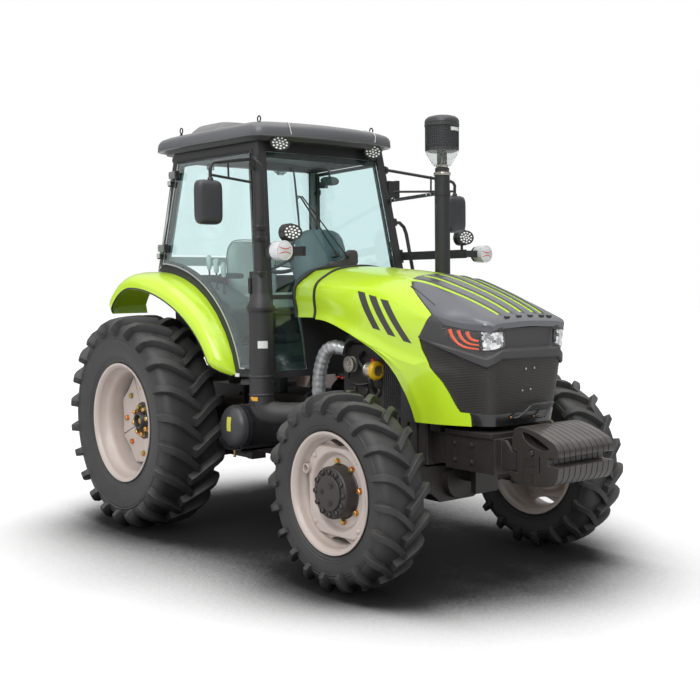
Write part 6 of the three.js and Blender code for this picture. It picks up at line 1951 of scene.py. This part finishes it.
# Seat
# Foam pads under stretched grey cloth on a black suspension base. The pads are blown up by a cloth simulation
# from a slightly smaller block, and a piped seam runs round each.
seat_cloth = weathered(finish("pale_grey_seat_cloth", "#A9B2AE", 0.85, Sheen_Weight=0.25), "#B2BBB7",
    "#9EA7A3", 200, 2.4, 0.35, 0.8, 0.92)
eased("seat_base", [powder_black], 6, "black_plastic")


def stuffed(name, cap, node_name):
    pad = kept(name, seat_cloth)
    remesh = pad.modifiers.new("even_mesh", "REMESH")
    remesh.mode = "VOXEL"
    remesh.voxel_size = 0.009
    graph = bpy.context.evaluated_depsgraph_get()
    pad.data = bpy.data.meshes.new_from_object(pad.evaluated_get(graph))
    pad.modifiers.clear()
    start = [v.co.copy() for v in pad.data.vertices]
    cloth = pad.modifiers.new("filling", "CLOTH")
    cloth.settings.use_pressure = True
    cloth.settings.uniform_pressure_force = 4.0
    cloth.settings.effector_weights.gravity = 0.0
    cloth.settings.tension_stiffness = 18
    cloth.settings.bending_stiffness = 1.5
    for moment in range(1, 21):
        scene.frame_set(moment)
    graph = bpy.context.evaluated_depsgraph_get()
    swollen = bpy.data.meshes.new_from_object(pad.evaluated_get(graph))
    for v, before in zip(swollen.vertices, start):
        move = v.co - before
        if move.length > cap / 1000:
            v.co = before + move.normalized() * (cap / 1000)
    pad.modifiers.clear()
    pad.data = swollen
    scene.frame_set(1)
    if not pad.data.materials:
        pad.data.materials.append(seat_cloth)
    smoother = pad.modifiers.new("smooth_cloth", "SUBSURF")
    smoother.levels = smoother.render_levels = 1
    pad.data.shade_smooth()
    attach(pad, "root")
    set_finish(pad, "seat_fabric")
    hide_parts(node_name)


pad_line = eased_loop([(222, -222), (560, -222), (606, -170), (606, 170), (560, 222), (222, 222)], 0.2, 2)
add_loft([[at(412 + (x - 412) * g, y * g, z) for x, y in pad_line]
    for g, z in ((0.95, 1494), (0.99, 1506), (1.0, 1530), (1.0, 1562), (0.985, 1580), (0.93, 1590))])
stuffed("seat_cushion_pad", 14, "seat_cushion")
back_line = eased_loop([(-205, 1530), (205, 1530), (215, 1840), (196, 1930), (140, 1990), (-140, 1990),
    (-196, 1930), (-215, 1840)], 0.2, 2)
add_loft([[at(x - (1740 + (z - 1740) * g - 1490) * 0.1, y * g, 1740 + (z - 1740) * g) for y, z in back_line]
    for g, x in ((0.94, 132), (0.985, 138), (1.0, 150), (1.0, 178), (0.985, 190), (0.94, 196))])
stuffed("seat_back_pad", 14, "seat_backrest")
# Piping round both pads, and a folding armrest on the right.
add_bar([at(412 + (x - 412) * 0.985, y * 0.985, 1570) for x, y in pad_line], 3.5, 6, closed=True)
add_bar([at(172 - (z - 1490) * 0.1, y * 0.985, 1740 + (z - 1740) * 0.985) for y, z in back_line], 3.5, 6,
        closed=True)
piping = finish("dark_grey_piping", "#5C6664", 0.7)
piece("seat_piping", piping, "root", "seat_fabric", sharp=60)
add_loft([[at(x, y - 268, z) for x, z in eased_loop([(150, 1708), (400, 1702), (420, 1722), (400, 1742),
    (150, 1748)], 0.22, 2)] for y in (-22, 22)])
piece("seat_armrest", cab_lining, "root", "seat_fabric", sharp=35, bevel=5)

# Mirror inside the cab, on its stalk from the head rail.
add_loft([[at(x, y, z) for y, z in eased_loop([(30, 2318), (170, 2318), (170, 2376), (30, 2376)], 0.25, 3)]
    for x in (930, 952)])
add_bar([at(942, 100, 2360), at(930, 100, 2440), at(915, 100, 2546)], 7, 10)
piece("inside_mirror", cab_lining, "root", "cab_lining", sharp=40)
